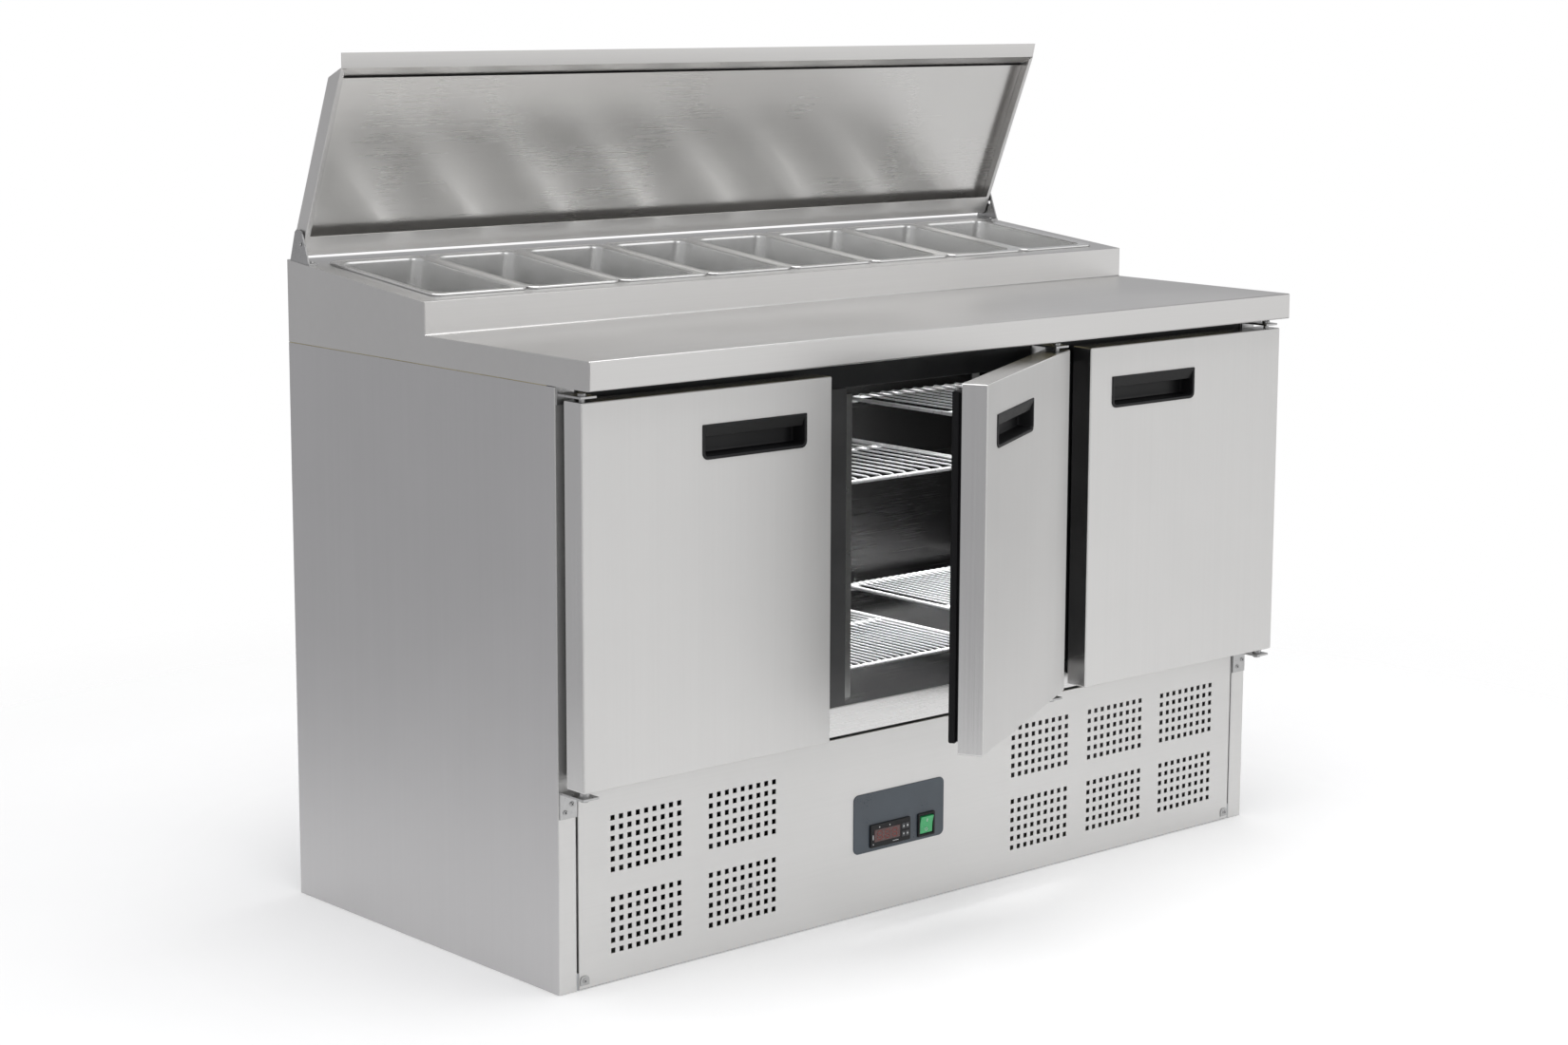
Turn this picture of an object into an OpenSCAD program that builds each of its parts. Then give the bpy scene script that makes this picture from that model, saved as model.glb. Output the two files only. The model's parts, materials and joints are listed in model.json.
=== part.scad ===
// Three-door refrigerated preparation counter with a raised, lidded row of food pans.
// Millimetres, +Z up, front towards -Y. The origin is the centre of the base, on the floor.

/* [Cabinet] */
// Width across the side panels
cab_w = 1365; // [1355:1:1375]
// Depth from the back to the worktop's front edge
cab_d = 700; // [696:1:704]
// Height of the flat worktop
worktop_z = 850; // [846:1:856]
// Height of the worktop's front apron
apron_h = 39; // [35:1:40]
// Distance from the worktop's front edge back to the cabinet's front plane
setback = 73; // [72:0.5:74]
// Thickness of the steel sheet
sheet = 1.2; // [1:0.1:1.5]
// Thickness of the insulated side walls
wall = 36.75; // [34:0.25:38]
// Height of the cabinet's inner floor
floor_z = 315; // [312:1:318]
// Height of the top of the perforated panel
panel_top_z = 268; // [264:1:268]
// Width of the front posts beside the perforated panel
post_w = 30; // [28:1:31]

/* [Raised well] */
// Distance from the back to the riser's face
riser_d = 338; // [336:1:342]
// Height of the sloping top at the riser
well_front_z = 895; // [893:1:897]
// Height of the sloping top at the back
well_back_z = 928; // [926:1:930]
// Number of food pans
pan_count = 8; // [8:1:8]
// Width of one pan over its rim
pan_w = 162; // [161:0.5:162]
// Length of one pan over its rim
pan_len = 265; // [263:1:266]
// Depth of one pan
pan_depth = 100; // [60:5:100]
// Distance from the riser's top edge to the pans' front rims, along the slope
pan_front_gap = 27; // [26:0.5:28]

/* [Lid] */
// Angle of the open lid above the horizontal
lid_open = 67.6; // [64:0.2:70]
// Depth of the lid's side skirts
skirt_h = 25; // [23:0.5:26]
// Length from the pivot to the end of the skirts
lid_len = 286; // [280:1:288]
// Length of the lip along the lid's front edge
lip_len = 20; // [15:1:20]

/* [Doors] */
// Width of one door
door_w = 426.5; // [424:0.5:428]
// Height of one door
door_h = 511; // [508:1:512]
// Height of the doors' bottom edges
door_z = 284; // [284:1:286]
// Thickness of one door without its gasket
door_t = 36; // [34:1:37]
// Angle at which the middle door stands ajar
ajar = 29; // [0:1:60]
// Width of one recessed handle
handle_w = 182; // [170:1:186]
// Height of one recessed handle
handle_h = 47; // [44:1:50]

/* [Shelves] */
// Height of the lower shelves' top
low_shelf_z = 352; // [348:1:360]
// Height of the upper shelves' top in the left and middle sections
mid_shelf_z = 624; // [600:1:640]
// Height of the upper shelf's top in the right section
right_shelf_z = 662; // [600:1:664]
// Diameter of the upper shelves' thin wires
wire_d = 3.2; // [2.5:0.1:4]
// Diameter of the shelves' frame wires
frame_d = 6.5; // [5:0.5:7]
// Diameter of the low shelves' thin wires
low_wire_d = 2.6; // [2.4:0.1:3]
// Distance between the upper shelves' thin wires, at most
wire_pitch = 24; // [18:1:30]
// Distance between the low shelves' thin wires, at most
low_wire_pitch = 16; // [13:0.5:20]

/* [Perforated panel] */
// Side of one square hole
hole = 7.2; // [5:0.2:8]
// Distance between hole centres
hole_pitch = 14.2; // [13:0.1:14.4]

/* [Hidden] */
$fn = 48;

eps = 0.01;
gap = 0.3;
half_w = cab_w / 2;
y_back = cab_d / 2;
y_edge = -cab_d / 2;
y_front = y_edge + setback;
apron_z = worktop_z - apron_h;
steel = [0.78, 0.78, 0.77];
dark_steel = [0.55, 0.55, 0.55];
black = [0.06, 0.06, 0.07];

// Sloping top: its local frame starts at the riser's top edge, +Y runs up the slope to the back.
riser_y = y_back - riser_d;
slope = atan((well_back_z - well_front_z) / riser_d);
slope_len = riser_d / cos(slope);
pan_body_w = 138;
pan_body_len = 241;
rim_over = (pan_len - pan_body_len) / 2;
rim_rest = 0.2;
rim_h = 3.3;
pan_skin = 1;
pan_r = 22;
pans_w = pan_count * pan_w;
opening_x = pans_w / 2 - 9;
opening_y0 = pan_front_gap + 9;
opening_y1 = pan_front_gap + pan_len - 9;
well_wall_h = 84;

// Lid: its local frame has the pivot at the origin, +Y to the front along the closed lid, +Z up.
lid_pivot = [329, 941];
lid_half = half_w - 6;
skirt_low = -10;
skirt_top = skirt_low + skirt_h;
nose_len = 26;
lip_rise = 14;
lid_back = -4;
pin_r = 4;
pin_clear = 0.06;

// Doors: each has its left edge, its hinge side and the turn that it stands at.
door_gap = 1;
door_top = door_z + door_h;
y_door = y_edge + 18;
y_door_back = y_door + door_t;
door_left_x = -half_w + door_gap;
door_middle_x = -door_w / 2;
door_right_x = half_w - door_gap - door_w;
pivot_in = 14;
pivot_back = 17;
y_pivot = y_door + pivot_back;
left_pivot = door_left_x + pivot_in;
middle_pivot = door_middle_x + door_w - pivot_in;
right_pivot = door_right_x + door_w - pivot_in;
handle_side = 46;
handle_top = 46;
gasket_in = 12;
gasket_w = 14;
plate_t = 3;
low_plate_z = door_z - 11;
high_plate_z = door_top + 4;
side_plate_h = 37;
mid_plate_h = 20;
high_plate_h = 24;

// Door openings behind the doors.
opening_w = 355;
section_x = [-half_w + wall, -opening_w / 2, half_w - wall - opening_w];
header_z = 767;
mullion_d = 50;
jamb_d = 19;
y_liner_back = y_back - 58;

// Shelves sit between the pilasters of their section.
shelf_gap = 7;
shelf_w = opening_w - 2 * shelf_gap;
shelf_y0 = y_back - 560;
shelf_y1 = y_back - 98;
pilaster_w = 16;
pilaster_t = 2;
edge_strip_w = 11;
edge_stud_z = [410, 533, 621, 750];

// Control plate on the perforated panel.
panel_y = y_front;
plate_x = -160.5;
plate_z = 92;
plate_size = [177, 87];
stat_x = -130.5;
stat_z = 97.5;
stat_size = [78, 34];
window = [7, 57, 8, 26];
rocker_x = -36.5;
rocker_z = 96.5;
rocker_size = [33, 35];
rocker_tilt = 8;
key_size = [6.2, 8];
key_step = [7.6, 11.5];
key_at = [60.6, 7];

// Condensing unit.
fan_x = -260;
fan_y = -120;
fan_z = 138;
fan_r = 95;
evap_x = [310, 640];
evap_y = [150, y_liner_back - gap];
evap_z = [704, 792];
evap_fan_x = 400;

module slab(x0, x1, y0, y1, z0, z1) {
    translate([x0, y0, z0]) cube([x1 - x0, y1 - y0, z1 - z0]);
}

module along_x(x0, x1, r) {
    translate([x0, 0, 0]) rotate([0, 90, 0]) cylinder(h = x1 - x0, r = r);
}

module along_y(y0, y1, r) {
    translate([0, y1, 0]) rotate([90, 0, 0]) cylinder(h = y1 - y0, r = r);
}

module rounded(w, h, r) {
    translate([r, 0]) square([w - 2 * r, h]);
    translate([0, r]) square([w, h - 2 * r]);
    if (r > 0) for (x = [r, w - r], y = [r, h - r]) translate([x, y]) circle(r = r);
}

module ring(w, h, r, t) {
    difference() {
        rounded(w, h, r);
        translate([t, t]) rounded(w - 2 * t, h - 2 * t, max(r - t, 0));
    }
}

module on_slope() {
    translate([0, riser_y, well_front_z]) rotate([slope, 0, 0]) children();
}

// Outline of a plate that stands in the XZ plane, from its front face backwards.
module upright(x, y, z, depth) {
    translate([x, y + depth, z]) rotate([90, 0, 0]) linear_extrude(depth) children();
}

module mirror_pair() {
    children();
    mirror([1, 0, 0]) children();
}

// ---------- outer cabinet ----------

module base_tray() color(dark_steel) {
    flange = 24;
    foot_x = 620;
    foot_y = [-230, 290];
    x0 = half_w - sheet;
    y0 = y_front + sheet;
    y1 = y_back - sheet;
    difference() {
        slab(-x0, x0, y0, y1, 0, flange);
        slab(-x0 + 2, x0 - 2, y0 + 2, y1 - 2, 2, flange + 1);
        for (x = [-foot_x, foot_x], y = foot_y) translate([x, y, -1]) cylinder(h = 4, r = 5.5);
    }
}

module side_panel() {
    back_return = 18;
    linear_extrude(apron_z) polygon([
        [-half_w, y_front], [-half_w + post_w, y_front], [-half_w + post_w, y_front + sheet],
        [-half_w + sheet, y_front + sheet], [-half_w + sheet, y_back - sheet],
        [-half_w + back_return, y_back - sheet], [-half_w + back_return, y_back], [-half_w, y_back]
    ]);
}

module side_panel_left() color(steel) side_panel();

module side_panel_right() color(steel) mirror([1, 0, 0]) side_panel();

module back_panel() color(steel) {
    x0 = half_w - 18;
    slot = [90, 6];
    slot_x = [-430, -320, -210, 150, 260, 370, 480];
    slot_rows = 9;
    slot_pitch = 16;
    slot_z0 = 60;
    gland_x = 560;
    gland_z = 60;
    difference() {
        slab(-x0, x0, y_back - sheet, y_back, 2, apron_z);
        for (x = slot_x, i = [0 : slot_rows - 1])
            slab(x, x + slot[0], y_back - 2, y_back + 1, slot_z0 + i * slot_pitch,
                slot_z0 + i * slot_pitch + slot[1]);
        translate([gland_x, 0, gland_z]) along_y(y_back - 3, y_back + 1, 9);
    }
}

// Foam poured behind the liners, under the worktop and round the well.
module insulation() color([0.93, 0.88, 0.68]) {
    x_out = half_w - sheet;
    x_in = half_w - wall + 1;
    y_jamb = y_front + jamb_d;
    foam_low = floor_z - sheet;
    mirror_pair() slab(-x_out, -x_in, y_jamb, y_back - sheet, foam_low, apron_z);
    slab(-x_in, x_in, y_liner_back + 1, y_back - sheet, foam_low, apron_z);
    slab(-x_out, x_out, y_front + sheet, y_back - sheet, floor_z - 41, foam_low);
    slab(-x_in, x_in, y_front + 10, riser_y - 12, apron_z + 1, worktop_z - sheet);
}

// Inner sides, back, ceiling and floor, and the sill under the door openings.
module liner() color([0.72, 0.72, 0.72]) {
    x_in = half_w - wall;
    x_sill = half_w - post_w - gap;
    y_jamb = y_front + jamb_d;
    z0 = floor_z + 0.1;
    mirror_pair() slab(-x_in - 1, -x_in, y_jamb, y_liner_back, z0, apron_z);
    slab(-x_in, x_in, y_liner_back, y_liner_back + 1, z0, apron_z);
    slab(-x_in + gap, x_in - gap, y_front + 10, riser_y - 12, apron_z + 0.1, apron_z + 1);
    slab(-x_in - 1, x_in + 1, y_front, y_liner_back + 1, floor_z - sheet, floor_z);
    slab(-x_sill, x_sill, y_front, y_front + sheet, panel_top_z + 4, floor_z - sheet - 0.1);
}

// Header rail, two mullions and two jambs round the three door openings, and the dark rail that
// closes the gap under the sill from behind.
module front_frame() color([0.30, 0.30, 0.31]) {
    x_in = half_w - wall;
    x_out = half_w - sheet;
    mirror_pair() slab(-x_out, -x_in, y_front + sheet, y_front + jamb_d, floor_z + 0.1, apron_z);
    slab(-x_in + 0.1, x_in - 0.1, y_front, y_front + 10, header_z, apron_z);
    for (i = [0, 1])
        slab(section_x[i] + opening_w, section_x[i + 1], y_front, y_front + mullion_d,
             floor_z + 0.1, header_z - 0.1);
    slab(-half_w + post_w + gap, half_w - post_w - gap, y_front + 5, y_front + 11, 252, floor_z - 41.1);
}

// Worktop, apron, riser, cheeks and back of the raised part, folded from one sheet.
module worktop() color(steel) {
    profile = [
        [y_back, apron_z], [y_back, well_back_z], [riser_y, well_front_z],
        [riser_y, worktop_z], [y_edge, worktop_z], [y_edge, apron_z]
    ];
    lip = 14;
    mirror_pair() translate([-half_w, 0, 0]) rotate([90, 0, 90]) linear_extrude(sheet) polygon(profile);
    slab(-half_w + eps, half_w - eps, y_edge, riser_y, worktop_z - sheet, worktop_z);
    slab(-half_w + eps, half_w - eps, y_edge, y_edge + sheet, apron_z, worktop_z);
    slab(-half_w + eps, half_w - eps, y_edge, y_edge + lip, apron_z, apron_z + sheet);
    slab(-half_w + eps, half_w - eps, riser_y, riser_y + sheet, worktop_z - sheet, well_front_z - 0.2);
    slab(-half_w + eps, half_w - eps, y_back - sheet, y_back, apron_z, well_back_z - 0.2);
}

// Sloping frame with the pan opening and its turned-down walls.
module well_frame() color(steel) {
    x_out = half_w - sheet;
    y0 = sheet + 0.2;
    y1 = slope_len - sheet - 0.3;
    on_slope() difference() {
        union() {
            slab(-x_out, x_out, y0, y1, -sheet - 0.2, 0);
            slab(-opening_x - sheet, opening_x + sheet, opening_y0 - sheet, opening_y1 + sheet,
                -well_wall_h, -sheet);
        }
        slab(-opening_x, opening_x, opening_y0, opening_y1, -well_wall_h - 1, 1);
    }
}

// Bars between the pans, under their rims.
module pan_dividers() color(steel) on_slope() {
    bar_w = 12;
    bar_h = 8;
    for (i = [1 : pan_count - 1])
        slab(-pans_w / 2 + i * pan_w - bar_w / 2, -pans_w / 2 + i * pan_w + bar_w / 2,
             opening_y0, opening_y1, -bar_h, 0);
}

// ---------- perforated panel and controls ----------

module hole_group(x, z) {
    columns = 9;
    rows = 6;
    for (i = [0 : columns - 1], j = [0 : rows - 1])
        translate([x + i * hole_pitch - hole / 2, z - j * hole_pitch - hole / 2]) square(hole);
}

module machine_panel() color(steel) {
    panel_gap = 3;
    x0 = half_w - post_w - panel_gap;
    z0 = 1;
    group_x = [-592.5, -423.5, 160.5, 324.5, 487.5];
    group_z = [226.5, 114.5];
    rim = 3.6;
    difference() {
        upright(0, panel_y, 0, sheet) difference() {
            translate([-x0, z0]) square([2 * x0, panel_top_z - z0]);
            for (x = group_x, z = group_z) hole_group(x, z);
        }
        slab(stat_x + 4, stat_x + stat_size[0] - 4, panel_y - 1, panel_y + 3, stat_z + 3,
            stat_z + stat_size[1] - 3);
        slab(rocker_x + 2, rocker_x + rocker_size[0] - 2, panel_y - 1, panel_y + 3,
             rocker_z + 2, rocker_z + rocker_size[1] - 2);
    }
    slab(-x0, x0, panel_y + sheet - eps, panel_y + rim, panel_top_z - sheet, panel_top_z);
    mirror_pair() slab(-x0, -x0 + sheet, panel_y + sheet - eps, panel_y + rim, 24.5, panel_top_z - eps);
}

module control_plate() color([0.22, 0.26, 0.31]) {
    thick = 1.5;
    corner = 9;
    difference() {
        upright(plate_x, panel_y - thick, plate_z, thick) rounded(plate_size[0], plate_size[1], corner);
        slab(stat_x + 4, stat_x + stat_size[0] - 4, panel_y - 3, panel_y + 3, stat_z + 3,
            stat_z + stat_size[1] - 3);
        slab(rocker_x + 2, rocker_x + rocker_size[0] - 2, panel_y - 3, panel_y + 3,
             rocker_z + 2, rocker_z + rocker_size[1] - 2);
    }
}

// Thermostat: bezel, body through the panel, display window and four key openings.
module thermostat() color(black) {
    front = 3;
    depth = 46;
    y0 = panel_y - 1.5 - front;
    difference() {
        union() {
            upright(stat_x, y0, stat_z, front) rounded(stat_size[0], stat_size[1], 2);
            slab(stat_x + 4.2, stat_x + stat_size[0] - 4.2, y0 + front - eps, y0 + depth,
                 stat_z + 3.2, stat_z + stat_size[1] - 3.2);
        }
        slab(stat_x + window[0], stat_x + window[1], y0 - 1, y0 + 0.8, stat_z + window[2],
            stat_z + window[3]);
        for (i = [0, 1], j = [0, 1]) at_key(i, j)
            slab(-0.2, key_size[0] + 0.2, y0 - 1, y0 + 2.5, -0.2, key_size[1] + 0.2);
    }
}

module at_key(i, j) {
    translate([stat_x + key_at[0] + i * key_step[0], 0, stat_z + key_at[1] + j * key_step[1]]) children();
}

module key_cap(i, j) color([0.16, 0.16, 0.17]) {
    y0 = panel_y - 4.5 - 0.8;
    at_key(i, j) slab(0, key_size[0], y0, y0 + 2, 0, key_size[1]);
}

module key_1() key_cap(0, 1);

module key_2() key_cap(1, 1);

module key_3() key_cap(0, 0);

module key_4() key_cap(1, 0);

module rocker_bezel() color(black) {
    front = 3;
    y0 = panel_y - 1.5 - front;
    difference() {
        union() {
            upright(rocker_x, y0, rocker_z, front) rounded(rocker_size[0], rocker_size[1], 1.5);
            slab(rocker_x + 2.2, rocker_x + rocker_size[0] - 2.2, y0 + front - eps, y0 + 22,
                 rocker_z + 2.2, rocker_z + rocker_size[1] - 2.2);
        }
        slab(rocker_x + 3.5, rocker_x + rocker_size[0] - 3.5, y0 - 1, y0 + 12,
             rocker_z + 3.5, rocker_z + rocker_size[1] - 3.5);
        translate([rocker_x + rocker_size[0] / 2, y0 + 4, rocker_z + rocker_size[1] / 2])
            along_x(-13.9, 13.9, 1.56, $fn = 24);
    }
}

// Rocker that turns about a level axis through the bezel's opening.
module rocker_switch() color([0.15, 0.62, 0.30]) {
    w = rocker_size[0] - 8;
    h = rocker_size[1] - 9;
    y0 = panel_y - 4.5;
    translate([rocker_x + rocker_size[0] / 2, y0 + 4,
        rocker_z + rocker_size[1] / 2]) rotate([rocker_tilt, 0, 0]) {
        translate([-w / 2, 0, 0]) rotate([90, 0, 90]) linear_extrude(w) polygon([
            [-4.5, -h / 2], [-3.2, 0], [-4.5, h / 2], [1, h / 2], [4.5, 0], [1, -h / 2]
        ]);
        along_x(-13.6, 13.6, 1.5, $fn = 24);
    }
}

// ---------- condensing unit and evaporator ----------

module compressor() color(black) translate([400, 110, 0]) {
    shell_r = 78;
    shell_h = 176;
    foot_z = 12;
    translate([0, 0, foot_z + 3]) rotate_extrude() polygon([
        [0, 0], [shell_r - 18, 0], [shell_r, 26], [shell_r, shell_h - 40], [shell_r - 22, shell_h - 12],
        [0, shell_h]
    ]);
    slab(-100, 100, -60, 60, foot_z, foot_z + 3 + eps);
    for (x = [-88, 88], y = [-48, 48]) translate([x, y, 2]) cylinder(h = foot_z - 2 + eps, r = 11);
}

// Finned block: thin fins between end plates, with the tube bends outside them.
module condenser() color([0.62, 0.62, 0.60]) {
    fin_count = 30;
    half_len = 140;
    y0 = fan_y + 46;
    z0 = 24;
    z1 = 248;
    fin_gap = (2 * half_len - 3) / (fin_count - 1);
    translate([fan_x, y0, 0]) {
        for (i = [1 : fin_count - 2]) slab(-half_len + i * fin_gap, -half_len + i * fin_gap + 1.2, 4,
            56, z0, z1);
        for (z = [z0 + 30, (z0 + z1) / 2, z1 - 30]) slab(-half_len, half_len, 20, 40, z - 4, z + 4);
        for (x = [-half_len, half_len - 3]) slab(x, x + 3, 0, 60, 2, z1 + 4);
        for (i = [0 : 6], x = [-half_len, half_len]) translate([x, 0, z0 + 16 + i * 32]) along_y(14, 46,
            4.5, $fn = 12);
    }
}

// Plate with the fan's round opening, and the spider that holds its motor.
module fan_shroud() color(dark_steel) {
    y0 = fan_y + 20;
    depth = 24;
    translate([fan_x, 0, fan_z]) {
        difference() {
            slab(-140, 140, y0, y0 + depth, -110, 110);
            slab(-138, 138, y0 + 2, y0 + depth + 1, -108, 108);
            along_y(y0 - 1, y0 + 3, fan_r + 4);
        }
        for (a = [45, 135]) rotate([0, a, 0]) slab(-124, 124, y0 + 2 - eps, y0 + 5, -5, 5);
        along_y(y0 + 2, y0 + depth, 26);
        along_y(y0 - 6.7, y0 + 3, 4);
    }
    for (x = [fan_x - 120, fan_x + 100]) slab(x, x + 20, y0, y0 + depth, 2, fan_z - 108);
}

module blades(r, hub_r, depth, pitch, count) {
    along_y(-depth / 2, depth / 2, hub_r);
    for (i = [0 : count - 1]) rotate([0, i * 360 / count, 0]) translate([hub_r - 2, 0, 0])
        rotate([pitch, 0, 0]) slab(0, r - hub_r + 2, -0.75, 0.75, -hub_r * 0.8, hub_r * 0.8);
}

module condenser_fan() color([0.35, 0.36, 0.38])
    translate([fan_x, fan_y, fan_z]) blades(fan_r, 24, 26, 28, 5);

module evaporator() color([0.80, 0.80, 0.80]) {
    skin = 2;
    x_fan = evap_fan_x;
    z_mid = (evap_z[0] + evap_z[1]) / 2;
    fin_count = 14;
    fin_x = evap_x[0] + 150;
    difference() {
        slab(evap_x[0], evap_x[1], evap_y[0], evap_y[1], evap_z[0], evap_z[1]);
        slab(evap_x[0] + skin, evap_x[1] - skin, evap_y[0] + skin, evap_y[1] - skin, evap_z[0] + skin,
            evap_z[1] - skin);
        translate([x_fan, 0, z_mid]) along_y(evap_y[0] - 1, evap_y[0] + 3, 38);
        for (i = [0 : 4]) slab(evap_x[0] + 150, evap_x[1] - 20, evap_y[0] - 1, evap_y[0] + 3,
                               evap_z[0] + 12 + i * 14, evap_z[0] + 18 + i * 14);
    }
    for (i = [0 : fin_count - 1])
        slab(fin_x + i * 12, fin_x + i * 12 + 1.5, evap_y[0] + 30, evap_y[1] - skin + eps,
            evap_z[0] + 14, evap_z[1] - 14);
    translate([x_fan, 0, z_mid]) {
        along_y(evap_y[0] + 60, evap_y[1] - skin + eps, 22);
        along_y(evap_y[0] + 49.3, evap_y[0] + 61, 3);
    }
}

module evaporator_fan() color([0.15, 0.15, 0.16])
    translate([evap_fan_x, evap_y[0] + 40, (evap_z[0] + evap_z[1]) / 2]) blades(36, 12, 18, 28, 5);

// Tray that evaporates the defrost water.
module drip_tray() color(black) {
    difference() {
        slab(60, 240, 60, 260, 2, 40);
        slab(62, 238, 62, 258, 4, 41);
    }
}

module pipework() color([0.72, 0.45, 0.28]) {
    tube_r = 4;
    pipe_z = 262;
    translate([400, 110, 191]) cylinder(h = pipe_z - 191, r = tube_r);
    translate([0, 110, pipe_z]) along_x(-180, 404, tube_r);
    translate([-180, 0, pipe_z]) along_y(-60, 114, tube_r);
    translate([-180, 40, 0]) {
        translate([0, 0, 200]) cylinder(h = pipe_z - 200, r = tube_r);
        translate([0, 0, 90]) cylinder(h = 111, r = 11);
    }
}

// Grommet where the supply lead would enter.
module cord_gland() color(black) translate([560, 0, 60]) {
    difference() {
        union() {
            along_y(y_back - 6, y_back - sheet, 13);
            along_y(y_back - sheet - eps, y_back, 9 - 0.01);
            along_y(y_back - 20, y_back - 6 + eps, 10);
        }
        along_y(y_back - 8, y_back + 1, 4.5);
    }
}

// ---------- shelves ----------

// Left and right ends of the clips in each section.
module in_sections() {
    for (x = section_x) translate([x, 0, 0]) children();
}

module pilasters() color(steel) {
    y_strip = y_front + mullion_d - pilaster_w - 4;
    z0 = floor_z + 10;
    z1 = header_z - 10;
    in_sections() {
        for (x = [0, opening_w - pilaster_t]) slab(x, x + pilaster_t, y_strip, y_strip + pilaster_w, z0,
            z1);
        for (x = [0, opening_w - edge_strip_w]) {
            slab(x, x + edge_strip_w, y_front + 2, y_front + 5, z0, z1);
            for (z = edge_stud_z) translate([x + edge_strip_w / 2, 0, z])
                along_y(y_front + 0.6, y_front + 2 + eps, 3.4, $fn = 16);
        }
        for (x = [8, opening_w - 8 - pilaster_w])
            slab(x, x + pilaster_w, y_liner_back - pilaster_t, y_liner_back, z0, evap_z[0] - 6);
    }
}

module clip_pair(z) {
    frame_low = z - wire_d - frame_d;
    y_strip = y_front + mullion_d - pilaster_w - 4;
    arm = 4;
    for (x = [pilaster_t, opening_w - pilaster_t - 11]) slab(x, x + 11, y_strip + 2, shelf_y0 + 18,
        frame_low - arm, frame_low - 0.1);
    for (x = [9, opening_w - 23]) slab(x, x + 14, shelf_y1 - 12, y_liner_back - pilaster_t,
        frame_low - arm, frame_low - 0.1);
}

module shelf_clips() color(steel) {
    high_z = [mid_shelf_z, mid_shelf_z, right_shelf_z];
    for (i = [0 : 2]) translate([section_x[i], 0, 0]) {
        clip_pair(low_shelf_z);
        clip_pair(high_z[i]);
    }
}

// Wire shelf: a frame, two cross bars and thin wires from front to back.
module shelf(section, z, thin_d, pitch) {
    r = frame_d / 2;
    thin = thin_d / 2;
    count = ceil((shelf_w - 2 * frame_d) / pitch);
    step = (shelf_w - frame_d) / count;
    mid_y = (shelf_y0 + shelf_y1) / 2;
    frame_z = -wire_d - r;
    turn = 22.5;
    translate([section_x[section] + shelf_gap, 0, z]) {
        for (y = [shelf_y0 + r, mid_y, shelf_y1 - r]) translate([0, y, frame_z]) rotate([turn, 0,
            0]) along_x(0, shelf_w, r, $fn = 8);
        for (x = [r, shelf_w - r]) translate([x, 0, frame_z]) rotate([0, turn, 0]) along_y(shelf_y0,
            shelf_y1, r, $fn = 8);
        for (i = [1 : count - 1]) translate([r + i * step, 0, thin - wire_d - 0.4]) rotate([0, turn, 0])
            along_y(shelf_y0 + 0.5, shelf_y1 - 0.5, thin, $fn = 8);
    }
}

module shelf_left_low() color(steel) shelf(0, low_shelf_z, low_wire_d, low_wire_pitch);

module shelf_left_high() color(steel) shelf(0, mid_shelf_z, wire_d, wire_pitch);

module shelf_middle_low() color(steel) shelf(1, low_shelf_z, low_wire_d, low_wire_pitch);

module shelf_middle_high() color(steel) shelf(1, mid_shelf_z, wire_d, wire_pitch);

module shelf_right_low() color(steel) shelf(2, low_shelf_z, low_wire_d, low_wire_pitch);

module shelf_right_high() color(steel) shelf(2, right_shelf_z, wire_d, wire_pitch);

// ---------- hinges ----------

// Angle bracket on the cabinet front: a screwed plate and an arm that carries the pin.
module door_bracket(x, outward, z_arm, z_plate, plate_h) {
    arm_w = 26;
    plate_w = 28;
    x0 = outward > 0 ? x - arm_w + 12 : x - 12;
    x_plate = outward > 0 ? x - plate_w + 13 : x - 13;
    difference() {
        union() {
            slab(x0, x0 + arm_w, y_door + 4, y_front, z_arm, z_arm + plate_t);
            slab(x_plate, x_plate + plate_w, y_front - 2.5, y_front, z_plate, z_plate + plate_h);
        }
        translate([x, y_pivot, z_arm - 1]) cylinder(h = plate_t + 2, r = pin_r);
    }
}

// Upright ear at each end of the sloping top, with the lid's pivot hole and a screwed foot.
module lid_bracket() {
    ear_t = 2.5;
    x0 = -half_w + sheet + 0.3;
    foot_w = 15;
    p = lid_pivot_local();
    difference() {
        union() {
            translate([x0, 0, 0]) rotate([90, 0, 90]) linear_extrude(ear_t) polygon([
                [284, 0], [304, 40], [307, 45], [319, 46], [323, 42], [332, 0]
            ]);
            slab(x0, x0 + foot_w, 284, 314, 0, ear_t);
        }
        translate([0, p[0], p[1]]) along_x(x0 - 1, x0 + ear_t + 1, pin_r);
        translate([0, 306, 27]) along_x(x0 - 1, x0 + ear_t + 1, 3);
    }
}

// Pivot's place in the slope's frame: distance up the slope and height above it.
function lid_pivot_local() =
    let (dy = lid_pivot[0] - riser_y, dz = lid_pivot[1] - well_front_z)
    [dy * cos(slope) + dz * sin(slope), dz * cos(slope) - dy * sin(slope)];

module hinge_brackets() color(steel) {
    side_plate = low_plate_z + plate_t - side_plate_h;
    mid_plate = panel_top_z + 4;
    high_plate = apron_z - high_plate_h;
    door_bracket(left_pivot, -1, low_plate_z, side_plate, side_plate_h);
    door_bracket(middle_pivot, 1, low_plate_z, mid_plate, mid_plate_h);
    door_bracket(right_pivot, 1, low_plate_z, side_plate, side_plate_h);
    door_bracket(left_pivot, -1, high_plate_z, high_plate, high_plate_h);
    door_bracket(middle_pivot, 1, high_plate_z, high_plate, high_plate_h);
    door_bracket(right_pivot, 1, high_plate_z, high_plate, high_plate_h);
    mirror_pair() on_slope() lid_bracket();
}

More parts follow.
